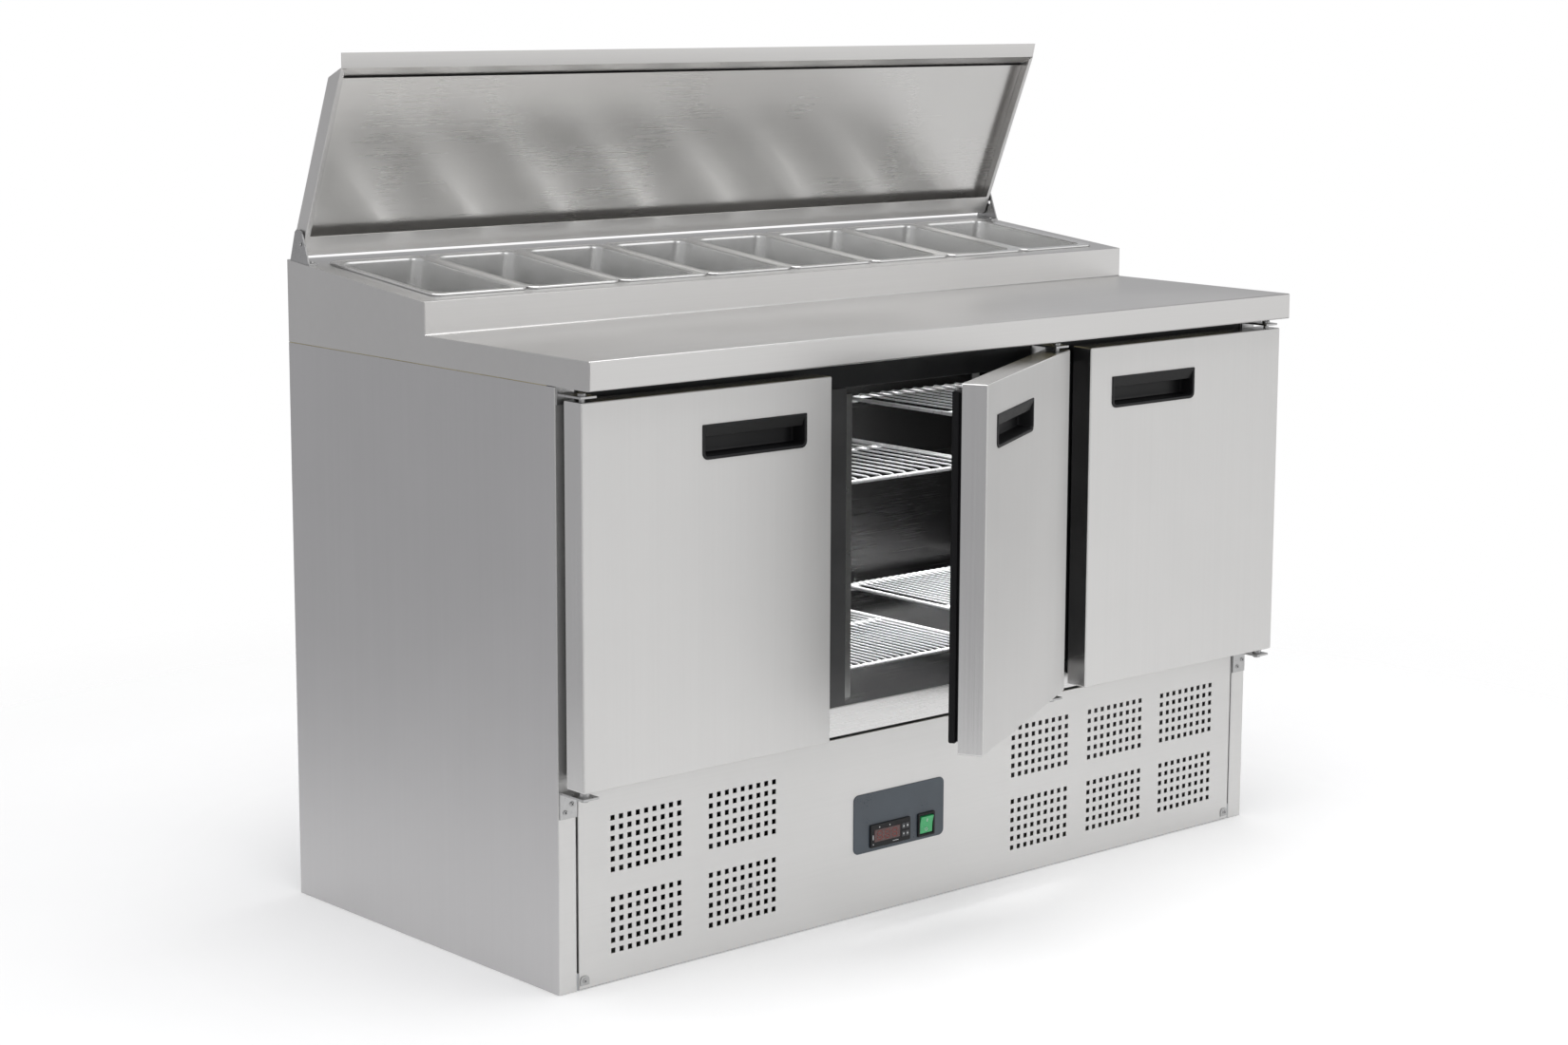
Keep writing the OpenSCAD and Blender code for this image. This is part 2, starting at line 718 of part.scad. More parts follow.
// Pivot pins, the screw heads on the plates, and the perforated panel's two raised tabs.
module pins_and_screws() color(dark_steel) {
    engage = 20;
    head_r = 3.6;
    head_h = 1.8;
    y_plate = y_front - 2.5;
    for (x = [left_pivot, middle_pivot, right_pivot]) translate([x, y_pivot, 0]) {
        translate([0, 0, low_plate_z]) cylinder(h = door_z - low_plate_z + engage, r = pin_r);
        translate([0, 0, low_plate_z + plate_t]) cylinder(h = door_z - low_plate_z - plate_t - gap, r = 7);
        translate([0, 0, low_plate_z - 4]) cylinder(h = 4, r = 6);
        translate([0, 0, door_top - engage]) cylinder(h = high_plate_z + plate_t - door_top + engage,
            r = pin_r);
        translate([0, 0, high_plate_z + plate_t]) cylinder(h = 4, r = 6);
    }
    mirror_pair() translate([0, lid_pivot[0], lid_pivot[1]])
        along_x(-half_w + sheet + 0.3, -half_w + sheet + 10.5, pin_r);
    for (x = [left_pivot, right_pivot], d = [[-5, 12], [6, 22]])
        translate([x + d[0], 0, low_plate_z - side_plate_h + d[1]]) along_y(y_plate - head_h, y_plate,
            head_r, $fn = 24);
    for (dx = [-7, 6]) translate([middle_pivot + dx, 0, low_plate_z + 10])
        along_y(y_plate - head_h, y_plate, head_r, $fn = 24);
    mirror_pair() {
        upright(-half_w + post_w + 4, panel_y - 1.5, 6, 1.5) rounded(15, 13, 3);
        translate([-half_w + post_w + 11, 0, 12]) along_y(panel_y - 1.5 - head_h, panel_y - 1.5 + eps,
            3, $fn = 24);
    }
    mirror_pair() on_slope() translate([-half_w + 12, 292, 2.5]) cylinder(h = head_h, r = 3, $fn = 24);
}

// ---------- doors ----------

// Turns a closed door about its pivot; the middle door stands ajar.
module hung(pivot, turn) {
    translate([pivot, y_pivot, 0]) rotate([0, 0, turn]) translate([-pivot, -y_pivot, 0]) children();
}

// Folded outer skin of a door, open at the back, with the handle's cut-out and the pin holes.
module door_shell(x, pivot, handle_x) {
    skin = 1;
    difference() {
        slab(x, x + door_w, y_door, y_door_back, door_z, door_top);
        slab(x + skin, x + door_w - skin, y_door + skin, y_door_back + 1, door_z + skin, door_top - skin);
        slab(handle_x + 3, handle_x + handle_w - 3, y_door - 1, y_door + 3,
             door_top - handle_top - handle_h + 3, door_top - handle_top - 3);
        translate([pivot, y_pivot, door_z - 1]) cylinder(h = door_h + 2, r = pin_r + pin_clear);
    }
}

// Foam core with the inner panel, the handle's pocket and the two pin bores.
module door_core(x, pivot, handle_x) {
    skin = 1;
    bore = 24;
    difference() {
        slab(x + skin, x + door_w - skin, y_door + skin, y_door_back, door_z + skin, door_top - skin);
        slab(handle_x + 2, handle_x + handle_w - 2, y_door - 1, y_door + 25,
             door_top - handle_top - handle_h + 2, door_top - handle_top - 2);
        translate([pivot, y_pivot, door_z]) cylinder(h = bore, r = pin_r + pin_clear);
        translate([pivot, y_pivot, door_top - bore]) cylinder(h = bore, r = pin_r + pin_clear);
    }
}

module door_gasket(x) {
    upright(x + gasket_in, y_door_back, door_z + gasket_in, y_front - y_door_back - 0.6)
        ring(door_w - 2 * gasket_in, door_h - 2 * gasket_in, 6, gasket_w);
}

// Recessed pull: a rim on the door's face and a cup with a hooded upper part.
module door_handle(handle_x) {
    rim_t = 1.6;
    cup_t = 2;
    z0 = door_top - handle_top - handle_h;
    difference() {
        union() {
            upright(handle_x, y_door - rim_t, z0, rim_t) rounded(handle_w, handle_h, 5);
            slab(handle_x + 3.2, handle_x + handle_w - 3.2, y_door - eps, y_door + 24, z0 + 3.2,
                z0 + handle_h - 3.2);
        }
        slab(handle_x + 5.2, handle_x + handle_w - 5.2, y_door - rim_t - 1, y_door + 24 - cup_t,
             z0 + 5.2, z0 + handle_h - 16);
        slab(handle_x + 5.2, handle_x + handle_w - 5.2, y_door + 4, y_door + 24 - cup_t,
             z0 + handle_h - 17, z0 + handle_h - 5.2);
    }
}

left_handle_x = door_left_x + door_w - handle_side - handle_w;
middle_handle_x = door_middle_x + handle_side;
right_handle_x = door_right_x + handle_side;

module door_left_shell() color(steel) door_shell(door_left_x, left_pivot, left_handle_x);

module door_left_core() color([0.75, 0.75, 0.75]) door_core(door_left_x, left_pivot, left_handle_x);

module door_left_gasket() color(black) door_gasket(door_left_x);

module door_left_handle() color(black) door_handle(left_handle_x);

module door_middle_shell() color(steel) hung(middle_pivot, ajar) door_shell(door_middle_x, middle_pivot,
    middle_handle_x);

module door_middle_core() color([0.75, 0.75, 0.75])
    hung(middle_pivot, ajar) door_core(door_middle_x, middle_pivot, middle_handle_x);

module door_middle_gasket() color(black) hung(middle_pivot, ajar) door_gasket(door_middle_x);

module door_middle_handle() color(black) hung(middle_pivot, ajar) door_handle(middle_handle_x);

module door_right_shell() color(steel) door_shell(door_right_x, right_pivot, right_handle_x);

module door_right_core() color([0.75, 0.75, 0.75]) door_core(door_right_x, right_pivot, right_handle_x);

module door_right_gasket() color(black) door_gasket(door_right_x);

module door_right_handle() color(black) door_handle(right_handle_x);

// ---------- lid ----------

// Places the closed lid's frame at the pivot, turned up to the open angle.
module lid_raised() {
    translate([0, lid_pivot[0], lid_pivot[1]]) rotate([-lid_open, 0, 0]) mirror([0, 1, 0]) children();
}

// Sheet strip across the lid along a line from a to b in the lid's side view.
module lid_strip(a, b, x0) {
    d = b - a;
    n = [-d[1], d[0]] / norm(d) * sheet;
    translate([-x0, 0, 0]) rotate([90, 0, 90]) linear_extrude(2 * x0) polygon([a, b, b - n, a - n]);
}

// Hood: top sheet, sloping nose with its lip, side skirts with hems, and the back skirt.
module lid_shell() color(steel) lid_raised() {
    nose = lid_len - nose_len;
    hem = 8;
    back_flange = 26;
    hub_w = 5;
    lip_end = [lid_len + lip_len * cos(lip_rise), skirt_low + lip_len * sin(lip_rise)];
    difference() {
        union() {
            lid_strip([lid_back, skirt_top], [nose + 0.4, skirt_top], lid_half);
            lid_strip([nose, skirt_top], [lid_len + 0.4, skirt_low + 0.1], lid_half);
            lid_strip([lid_len - 0.4, skirt_low + 0.8], lip_end, lid_half);
            mirror_pair() {
                translate([-lid_half, 0, 0]) rotate([90, 0, 90]) linear_extrude(sheet) polygon([
                    [lid_back, skirt_low], [lid_len - 0.6, skirt_low],
                    [nose - 0.2, skirt_top - 0.3], [lid_back, skirt_top - 0.3]
                ]);
                slab(-lid_half, -lid_half + hem, lid_back, lid_len - 3, skirt_low, skirt_low + sheet);
                along_x(-lid_half, -lid_half + hub_w, 9);
            }
            slab(-lid_half + eps, lid_half - eps, lid_back, lid_back + sheet, skirt_low, skirt_top - 0.3);
            slab(-lid_half + eps, lid_half - eps, lid_back, back_flange, skirt_low, skirt_low + sheet);
        }
        mirror_pair() along_x(-lid_half - 1, -lid_half + hub_w + 1, pin_r + pin_clear);
    }
}

// Flat inner panel, recessed inside the skirts, with a fold up to the hood at its back.
module lid_liner() color([0.82, 0.82, 0.80]) lid_raised() {
    x0 = lid_half - sheet - 0.2;
    nose = lid_len - nose_len;
    level = 8;
    difference() {
        union() {
            slab(-x0, x0, lid_back + sheet + 0.2, nose + 1, level, level + sheet);
            slab(-x0, x0, lid_back + sheet + 0.2, lid_back + 2 * sheet + 0.2, level, skirt_top - sheet - 0.1);
        }
        mirror_pair() along_x(-lid_half - 1, -lid_half + 6, 10);
    }
}

// ---------- food pans ----------

// Straight-sided pan with a flat rim, drawn from its front left corner.
module pan(index) color([0.85, 0.85, 0.85]) on_slope() {
    w = pan_w - 0.8;
    turn_down = rim_h - 0.1;
    x0 = -pans_w / 2 + (index - 1) * pan_w + 0.4;
    side = (w - pan_body_w) / 2;
    translate([x0, pan_front_gap, rim_rest]) {
        translate([0, 0, rim_h - pan_skin]) linear_extrude(pan_skin) difference() {
            rounded(w, pan_len, 14);
            translate([side + pan_skin, rim_over + pan_skin])
                rounded(pan_body_w - 2 * pan_skin, pan_body_len - 2 * pan_skin, pan_r);
        }
        translate([0, 0, rim_h - turn_down]) linear_extrude(turn_down - pan_skin + eps) ring(w, pan_len,
            14, pan_skin);
        difference() {
            translate([side, rim_over, rim_h - pan_depth]) linear_extrude(pan_depth - pan_skin + eps)
                rounded(pan_body_w, pan_body_len, pan_r);
            translate([side + pan_skin, rim_over + pan_skin,
                rim_h - pan_depth + pan_skin]) linear_extrude(pan_depth)
                rounded(pan_body_w - 2 * pan_skin, pan_body_len - 2 * pan_skin, pan_r - pan_skin);
        }
    }
}

module pan_1() pan(1);

module pan_2() pan(2);

module pan_3() pan(3);

module pan_4() pan(4);

module pan_5() pan(5);

module pan_6() pan(6);

module pan_7() pan(7);

module pan_8() pan(8);

base_tray();
side_panel_left();
side_panel_right();
back_panel();
insulation();
liner();
front_frame();
worktop();
well_frame();
pan_dividers();
machine_panel();
control_plate();
thermostat();
key_1();
key_2();
key_3();
key_4();
rocker_bezel();
rocker_switch();
compressor();
condenser();
fan_shroud();
condenser_fan();
evaporator();
evaporator_fan();
drip_tray();
pipework();
cord_gland();
pilasters();
shelf_clips();
shelf_left_low();
shelf_left_high();
shelf_middle_low();
shelf_middle_high();
shelf_right_low();
shelf_right_high();
hinge_brackets();
pins_and_screws();
door_left_shell();
door_left_core();
door_left_gasket();
door_left_handle();
door_middle_shell();
door_middle_core();
door_middle_gasket();
door_middle_handle();
door_right_shell();
door_right_core();
door_right_gasket();
door_right_handle();
lid_shell();
lid_liner();
pan_1();
pan_2();
pan_3();
pan_4();
pan_5();
pan_6();
pan_7();
pan_8();
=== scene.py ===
import json
import math

import bmesh
import bpy
from mathutils import Matrix, Vector


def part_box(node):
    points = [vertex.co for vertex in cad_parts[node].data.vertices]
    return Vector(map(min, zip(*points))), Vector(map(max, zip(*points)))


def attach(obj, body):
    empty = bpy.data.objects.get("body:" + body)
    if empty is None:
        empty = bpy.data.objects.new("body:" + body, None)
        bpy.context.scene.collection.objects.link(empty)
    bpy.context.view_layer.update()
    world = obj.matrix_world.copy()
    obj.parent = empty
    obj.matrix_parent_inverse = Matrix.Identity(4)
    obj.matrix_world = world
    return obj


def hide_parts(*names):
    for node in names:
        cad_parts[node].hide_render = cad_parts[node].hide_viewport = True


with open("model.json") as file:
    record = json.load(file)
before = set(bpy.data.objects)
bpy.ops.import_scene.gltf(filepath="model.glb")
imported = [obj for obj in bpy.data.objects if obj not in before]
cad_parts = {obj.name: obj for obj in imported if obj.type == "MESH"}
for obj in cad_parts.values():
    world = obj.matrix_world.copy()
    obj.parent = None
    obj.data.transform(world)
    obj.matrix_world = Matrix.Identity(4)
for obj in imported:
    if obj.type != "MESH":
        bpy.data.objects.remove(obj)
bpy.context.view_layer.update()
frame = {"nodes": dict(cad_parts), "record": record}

nodes = frame["nodes"]
bodies = frame["record"]["behaviour"]["bodies"]
body_of = {n: b for b, ns in bodies.items() for n in ns}
slot_of = {s["node"]: s["material_slot"] for s in frame["record"]["subparts"]}
rad = math.radians

# ---------------------------------------------------------------- places, in metres, as the CAD has them
HW = 0.6825
SHEET = 0.0012
SEAM = 0.0011
POST_W = 0.030
BACK_RETURN = 0.018
SEAL_IN = 0.012
Y_BACK, Y_EDGE, Y_FRONT = 0.350, -0.350, -0.277
RISER_Y, WELL_F, WELL_B = 0.012, 0.895, 0.928
TOP_Z, APRON_Z = 0.850, 0.811
SLOPE = math.atan2(WELL_B - WELL_F, Y_BACK - RISER_Y)
PIVOT = (0.329, 0.941)
LID_A = rad(67.6)
LID_H = 0.6765
DOOR_W, DOOR_Z0, DOOR_Z1, DOOR_Y0, DOOR_Y1 = 0.4265, 0.284, 0.795, -0.332, -0.296
PIV_Y = -0.315
DOORS = {
    "left": (-0.6815, -0.6675, 0.0, -0.4830),
    "middle": (-0.21325, 0.19925, rad(29), -0.16725),
    "right": (0.2550, 0.6675, 0.0, 0.3010),
}
HAND_W, HAND_H, HAND_TOP = 0.182, 0.047, 0.749
PANEL_Y = -0.277


def slope_pt(x, s, t):
    c, n = math.cos(SLOPE), math.sin(SLOPE)
    return Vector((x, RISER_Y + s * c - t * n, WELL_F + s * n + t * c))


def lid_pt(x, s, t):
    c, n = math.cos(LID_A), math.sin(LID_A)
    return Vector((x, PIVOT[0] - s * c + t * n, PIVOT[1] + s * n + t * c))


def hung(name):
    _, px, turn, _ = DOORS[name]
    return (
        Matrix.Translation((px, PIV_Y, 0))
        @ Matrix.Rotation(turn, 4, "Z")
        @ Matrix.Translation((-px, -PIV_Y, 0))
    )


# ---------------------------------------------------------------- materials
def tree(name):
    m = bpy.data.materials.new(name)
    m.use_nodes = True
    t = m.node_tree
    t.nodes.clear()
    out = t.nodes.new("ShaderNodeOutputMaterial")
    b = t.nodes.new("ShaderNodeBsdfPrincipled")
    t.links.new(b.outputs[0], out.inputs[0])
    return m, t, b


def field(t, scale, size=1.0, detail=4.0, rough=0.55, at=(0, 0, 0)):
    """Noise stretched by scale, in the piece's own coordinates."""
    co = t.nodes.new("ShaderNodeTexCoord")
    mp = t.nodes.new("ShaderNodeMapping")
    mp.inputs["Scale"].default_value = scale
    mp.inputs["Location"].default_value = at
    n = t.nodes.new("ShaderNodeTexNoise")
    n.inputs["Scale"].default_value = size
    n.inputs["Detail"].default_value = detail
    n.inputs["Roughness"].default_value = rough
    t.links.new(co.outputs["Object"], mp.inputs["Vector"])
    t.links.new(mp.outputs[0], n.inputs["Vector"])
    return n.outputs["Fac"]


def span(t, fac, lo, hi, a=0.3, b=0.7):
    r = t.nodes.new("ShaderNodeMapRange")
    r.inputs["From Min"].default_value = a
    r.inputs["From Max"].default_value = b
    r.inputs["To Min"].default_value = lo
    r.inputs["To Max"].default_value = hi
    t.links.new(fac, r.inputs["Value"])
    return r.outputs[0]


def add(t, a, b):
    m = t.nodes.new("ShaderNodeMath")
    m.operation = "ADD"
    t.links.new(a, m.inputs[0])
    t.links.new(b, m.inputs[1])
    return m.outputs[0]


def tint(t, fac, dark, light, a=0.3, b=0.7):
    r = t.nodes.new("ShaderNodeValToRGB")
    e = r.color_ramp.elements
    e[0].position, e[1].position = a, b
    e[0].color, e[1].color = (*dark, 1), (*light, 1)
    t.links.new(fac, r.inputs["Fac"])
    return r.outputs["Color"]


def bump(t, b, height, strength, distance, before=None):
    n = t.nodes.new("ShaderNodeBump")
    n.inputs["Strength"].default_value = strength
    n.inputs["Distance"].default_value = distance
    t.links.new(height, n.inputs["Height"])
    if before is not None:
        t.links.new(before, n.inputs["Normal"])
    t.links.new(n.outputs[0], b.inputs["Normal"])
    return n.outputs[0]


def shade(c, k):
    return tuple(min(1.0, v * k) for v in c)


def steel(name, base, rough, along="Z", contrast=0.07, metal=1.0, smudge=0.035, grain=0.03, swing=0.045):
    """Brushed sheet: fine lines along one axis, cloudy wipe marks, a few long faint scratches."""
    m, t, b = tree(name)
    fine = {"X": (3, 420, 420), "Y": (420, 3, 420), "Z": (420, 420, 3)}[along]
    wide = {"X": (1.2, 60, 60), "Y": (60, 1.2, 60), "Z": (60, 60, 1.2)}[along]
    lines = field(t, fine, detail=5.0, rough=0.6)
    bands = field(t, wide, detail=3.0)
    cloud = field(t, (2.3, 2.3, 2.3), detail=3.0, at=(3.1, 1.7, 0.4))
    both = add(t, span(t, lines, 0.0, 0.75, 0.25, 0.75), span(t, bands, 0.0, 0.25, 0.3, 0.7))
    colour = tint(t, both, shade(base, 1 - contrast), shade(base, 1 + contrast * 0.6), 0.1, 0.9)
    soft = tint(t, cloud, shade((1, 1, 1), 0.955), (1, 1, 1), 0.35, 0.65)
    mul = t.nodes.new("ShaderNodeMix")
    mul.data_type, mul.blend_type = "RGBA", "MULTIPLY"
    mul.inputs[0].default_value = 1.0
    t.links.new(colour, mul.inputs[6])
    t.links.new(soft, mul.inputs[7])
    t.links.new(mul.outputs[2], b.inputs["Base Color"])
    b.inputs["Metallic"].default_value = metal
    r = add(t, span(t, lines, rough - swing, rough + swing, 0.25, 0.75), span(t, cloud, -smudge, smudge))
    t.links.new(r, b.inputs["Roughness"])
    bump(t, b, lines, grain, 0.0004)
    return m


def plastic(name, base, rough=0.45, grain=900.0, strength=0.12, spec=0.5, coat=0.0, vary=0.15):
    m, t, b = tree(name)
    grit = field(t, (grain, grain, grain), detail=2.0)
    cloud = field(t, (14, 14, 14), detail=3.0, at=(0.7, 2.1, 4.0))
    t.links.new(tint(t, cloud, shade(base, 1 - vary), shade(base, 1 + vary)), b.inputs["Base Color"])
    uneven = add(t, span(t, grit, rough - 0.05, rough + 0.05), span(t, cloud, -0.05, 0.05))
    t.links.new(uneven, b.inputs["Roughness"])
    b.inputs["Specular IOR Level"].default_value = spec
    b.inputs["Coat Weight"].default_value = coat
    bump(t, b, grit, strength, 0.0003)
    return m


def polished(name, base, rough, scale=60.0, metal=1.0, vary=0.08):
    """Bright drawn metal with faint cloudy polish marks."""
    m, t, b = tree(name)
    cloud = field(t, (scale, scale, scale), detail=4.0)
    t.links.new(tint(t, cloud, shade(base, 1 - vary), shade(base, 1 + vary * 0.6)), b.inputs["Base Color"])
    t.links.new(span(t, cloud, rough * (1 - 2.5 * vary), rough * (1 + 3 * vary)), b.inputs["Roughness"])
    b.inputs["Metallic"].default_value = metal
    bump(t, b, cloud, 0.25 * vary, 0.0004)
    return m


MAT = {
    # side panels: a darker copy of the cabinet's stainless steel, painted shade for the sides turned away
    # from the light
    "side": steel("steel_side_painted_shade", (0.60, 0.594, 0.597), 0.42, "Z", 0.03),
    "top": steel("steel_top", (0.645, 0.638, 0.63), 0.38, "X", 0.03),
    "door": steel("steel_door", (0.71, 0.704, 0.694), 0.50, "Z", 0.025, 0.6),
    "edge": steel("steel_edge", (0.66, 0.655, 0.65), 0.22, "Z", 0.03),
    "sill": steel("steel_sill", (0.68, 0.675, 0.67), 0.28, "X", 0.03),
    "panel": steel("steel_panel", (0.69, 0.685, 0.675), 0.44, "X", 0.025, 0.7),
    "lid": steel("steel_lid", (0.68, 0.672, 0.662), 0.36, "X", 0.03),
    # lid liner: a lighter copy of the lid steel, painted light against the shade inside the lid
    "lid_in": steel("steel_lid_inner_painted_light", (0.78, 0.77, 0.755), 0.27, "X", 0.012, grain=0.006, swing=0.012),
    "well": steel("steel_well", (0.66, 0.655, 0.65), 0.33, "X", 0.03),
    "pan": polished("steel_pan", (0.82, 0.82, 0.815), 0.24, 30.0, 1.0, 0.025),
    # the liner's stainless painted near black: painted shade for the dim inside of the cabinet
    "inner": steel("steel_inner_painted_shade", (0.045, 0.045, 0.045), 0.26, "X", 0.04, grain=0.008, swing=0.015),
    # pilaster strips: stainless darkened to a mid grey, painted shade for where they sit beside the mullions
    "strip": polished("steel_strip_painted_shade", (0.34, 0.345, 0.34), 0.34, 120.0),
    "bracket": polished("steel_bracket", (0.46, 0.46, 0.46), 0.32, 140.0),
    "wire": polished("wire_bright", (0.80, 0.80, 0.81), 0.32, 160.0, 0.3),
    "galvanised": polished("galvanised", (0.46, 0.47, 0.48), 0.45, 30.0),
    # one grey plastic frame in two copies: the darker one is painted shade for the header under the apron,
    # the lighter one painted light for the mullions and jambs
    "frame": plastic("frame_grey", (0.022, 0.023, 0.024), 0.36, 500.0, 0.05, spec=0.35),
    "rail": plastic("frame_grey_lit", (0.070, 0.070, 0.071), 0.36, 500.0, 0.05, spec=0.4),
    "foam": plastic("foam", (0.80, 0.72, 0.45), 0.9, 700.0, 0.4),
    "black": plastic("plastic_black", (0.008, 0.008, 0.009), 0.42, 900.0, 0.10, spec=0.28),
    "hood": plastic("plastic_hood", (0.012, 0.012, 0.012), 0.46, 700.0, 0.22, spec=0.28),
    "plate": plastic("plate_slate", (0.046, 0.060, 0.076), 0.33, 500.0, 0.06, coat=0.15),
    "key": plastic("key_grey", (0.050, 0.052, 0.056), 0.5, 900.0, 0.1),
    "mark": plastic("mark_white", (0.72, 0.73, 0.74), 0.5, 900.0, 0.05, vary=0.04),
    "window": plastic("window_red", (0.060, 0.008, 0.006), 0.12, 300.0, 0.02, coat=0.6),
    "segment": plastic("segment_red", (0.16, 0.020, 0.014), 0.3, 600.0, 0.03),
    "green": plastic("rocker_green", (0.035, 0.40, 0.13), 0.22, 300.0, 0.04, coat=0.4),
    "paint": plastic("paint_black", (0.020, 0.020, 0.022), 0.30, 300.0, 0.08, coat=0.3),
    "fins": polished("fins", (0.62, 0.63, 0.64), 0.38, 90.0),
    "fan": plastic("fan_grey", (0.060, 0.062, 0.066), 0.45, 700.0, 0.1),
    "copper": polished("copper", (0.72, 0.36, 0.20), 0.26, 80.0),
    "core": plastic("door_inner", (0.62, 0.62, 0.61), 0.42, 600.0, 0.12, vary=0.03),
    "rubber": plastic("gasket_rubber", (0.009, 0.009, 0.010), 0.55, 1200.0, 0.18, spec=0.15),
}
BY_SLOT = {
    "stainless": "panel", "galvanised": "galvanised", "foam": "foam", "inner_steel": "inner",
    "grey_plastic": "frame", "slate_plastic": "plate", "black_plastic": "black", "key_plastic": "key",
    "green_plastic": "green", "black_paint": "paint", "fins": "fins", "fan_plastic": "fan",
    "copper": "copper", "wire": "wire", "bracket_steel": "bracket", "pan_steel": "pan",
    "door_plastic": "core", "gasket_rubber": "rubber",
}
for name, obj in nodes.items():
    obj.data.materials.clear()
    obj.data.materials.append(MAT[BY_SLOT[slot_of[name]]])


# ---------------------------------------------------------------- mesh helpers
def put(name, bm, mat, node, sharp=38, replaces=True, normals=True, second=None):
    """Links a finished mesh, rides it on the node's body and lets it stand for the node."""
    bmesh.ops.remove_doubles(bm, verts=bm.verts, dist=1e-6)
    me = bpy.data.meshes.new(name)
    bm.to_mesh(me)
    bm.free()
    for p in me.polygons:
        p.use_smooth = True
    me.set_sharp_from_angle(angle=rad(sharp))
    me.materials.append(MAT[mat])
    if second:
        me.materials.append(MAT[second[0]])
        for p in me.polygons:
            p.material_index = int(second[1](p.center, p.normal))
    o = bpy.data.objects.new(name, me)
    bpy.context.scene.collection.objects.link(o)
    if normals:
        w = o.modifiers.new("normals", "WEIGHTED_NORMAL")
        w.keep_sharp = True
        w.weight = 60
    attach(o, body_of[node])
    if replaces:
        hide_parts(node)
    return o


def join(parts):
    out = bmesh.new()
    for b in parts:
        me = bpy.data.meshes.new("tmp")
        b.to_mesh(me)
        out.from_mesh(me)
        bpy.data.meshes.remove(me)
        b.free()
    return out


def round_edges(bm, width, segs=3, angle=30, min_len=0.0):
    picked = [
        e for e in bm.edges
        if len(e.link_faces) == 2 and e.calc_face_angle(0.0) > rad(angle) and e.calc_length() >= min_len
    ]
    if picked:
        bmesh.ops.bevel(
            bm, geom=picked, offset=width, segments=segs, profile=0.5, affect="EDGES", clamp_overlap=True
        )


def soften(node, width, mat=None, segs=2, min_len=0.0, angle=30, sharp=38, second=None):
    """The node's own shape with its edges broken."""
    bm = bmesh.new()
    bm.from_mesh(nodes[node].data)
    bmesh.ops.remove_doubles(bm, verts=bm.verts, dist=2e-6)
    bmesh.ops.dissolve_limit(bm, angle_limit=rad(0.4), verts=bm.verts, edges=bm.edges)
    round_edges(bm, width, segs, angle, min_len)
    return put(node + "_piece", bm, mat or BY_SLOT[slot_of[node]], node, sharp, second=second)


def block(lo, hi, width=0.0, segs=2, mat4=None):
    bm = bmesh.new()
    bmesh.ops.create_cube(bm, size=1.0)
    lo, hi = Vector(lo), Vector(hi)
    for v in bm.verts:
        v.co = Vector(lo[i] + (v.co[i] + 0.5) * (hi[i] - lo[i]) for i in range(3))
    if width:
        round_edges(bm, width, segs)
    if mat4 is not None:
        bmesh.ops.transform(bm, matrix=mat4, verts=bm.verts)
    return bm


def faces_of(points, faces):
    bm = bmesh.new()
    vs = [bm.verts.new(p) for p in points]
    for f in faces:
        bm.faces.new([vs[i] for i in f])
    return bm


def folded(points, faces, thick, radius, centre, segs=3):
    """Sheet metal: an open surface with rounded folds and a real thickness, grown towards centre."""
    bm = faces_of(points, faces)
    bm.normal_update()
    c = Vector(centre)
    for f in bm.faces:
        if f.normal.dot(f.calc_center_median() - c) < 0:
            f.normal_flip()
    round_edges(bm, radius, segs)
    me = bpy.data.meshes.new("tmp")
    bm.to_mesh(me)
    bm.free()
    o = bpy.data.objects.new("tmp", me)
    bpy.context.scene.collection.objects.link(o)
    s = o.modifiers.new("s", "SOLIDIFY")
    s.thickness, s.offset, s.use_even_offset = thick, -1.0, True
    ev = o.evaluated_get(bpy.context.evaluated_depsgraph_get())
    out = bmesh.new()
    out.from_mesh(ev.to_mesh())
    ev.to_mesh_clear()
    bpy.data.objects.remove(o)
    bpy.data.meshes.remove(me)
    return out


def tube(path, r, segs=12, closed=False):
    """Round wire or pipe along a list of points."""
    bm = bmesh.new()
    pts = [Vector(p) for p in path]
    n = len(pts)
    rings = []
    ref = None
    for i, p in enumerate(pts):
        a = pts[i - 1] if (i or closed) else p
        b = pts[(i + 1) % n] if (i < n - 1 or closed) else p
        d = (b - a).normalized()
        if ref is None:
            ref = Vector((0, 0, 1)) if abs(d.z) < 0.9 else Vector((1, 0, 0))
        u = (ref - d * ref.dot(d)).normalized()
        ref = u
        w = d.cross(u)
        ring = []
        for k in range(segs):
            turn = k * 2 * math.pi / segs
            ring.append(bm.verts.new(p + (u * math.cos(turn) + w * math.sin(turn)) * r))
        rings.append(ring)
    for i in range(n if closed else n - 1):
        r0, r1 = rings[i], rings[(i + 1) % n]
        for k in range(segs):
            bm.faces.new((r0[k], r0[(k + 1) % segs], r1[(k + 1) % segs], r1[k]))
    if not closed:
        bm.faces.new(list(reversed(rings[0])))
        bm.faces.new(rings[-1])
    return bm


def lathe(profile, centre, axis="Z", segs=40):
    """Turns (radius, height) pairs about an axis through centre."""
    bm = bmesh.new()
    rings = []
    for r, h in profile:
        ring = []
        for k in range(segs if r > 1e-7 else 1):
            a = 2 * math.pi * k / segs
            p = (r * math.cos(a), r * math.sin(a), h)
            p = {"Z": p, "Y": (p[0], p[2], p[1]), "X": (p[2], p[0], p[1])}[axis]
            ring.append(bm.verts.new(Vector(centre) + Vector(p)))
        rings.append(ring)
    for a, b in zip(rings, rings[1:]):
        for k in range(segs):
            q = [a[k % len(a)], a[(k + 1) % len(a)], b[(k + 1) % len(b)], b[k % len(b)]]
            q = list(dict.fromkeys(q))
            if len(q) > 2:
                bm.faces.new(q)
    bmesh.ops.recalc_face_normals(bm, faces=bm.faces)
    return bm


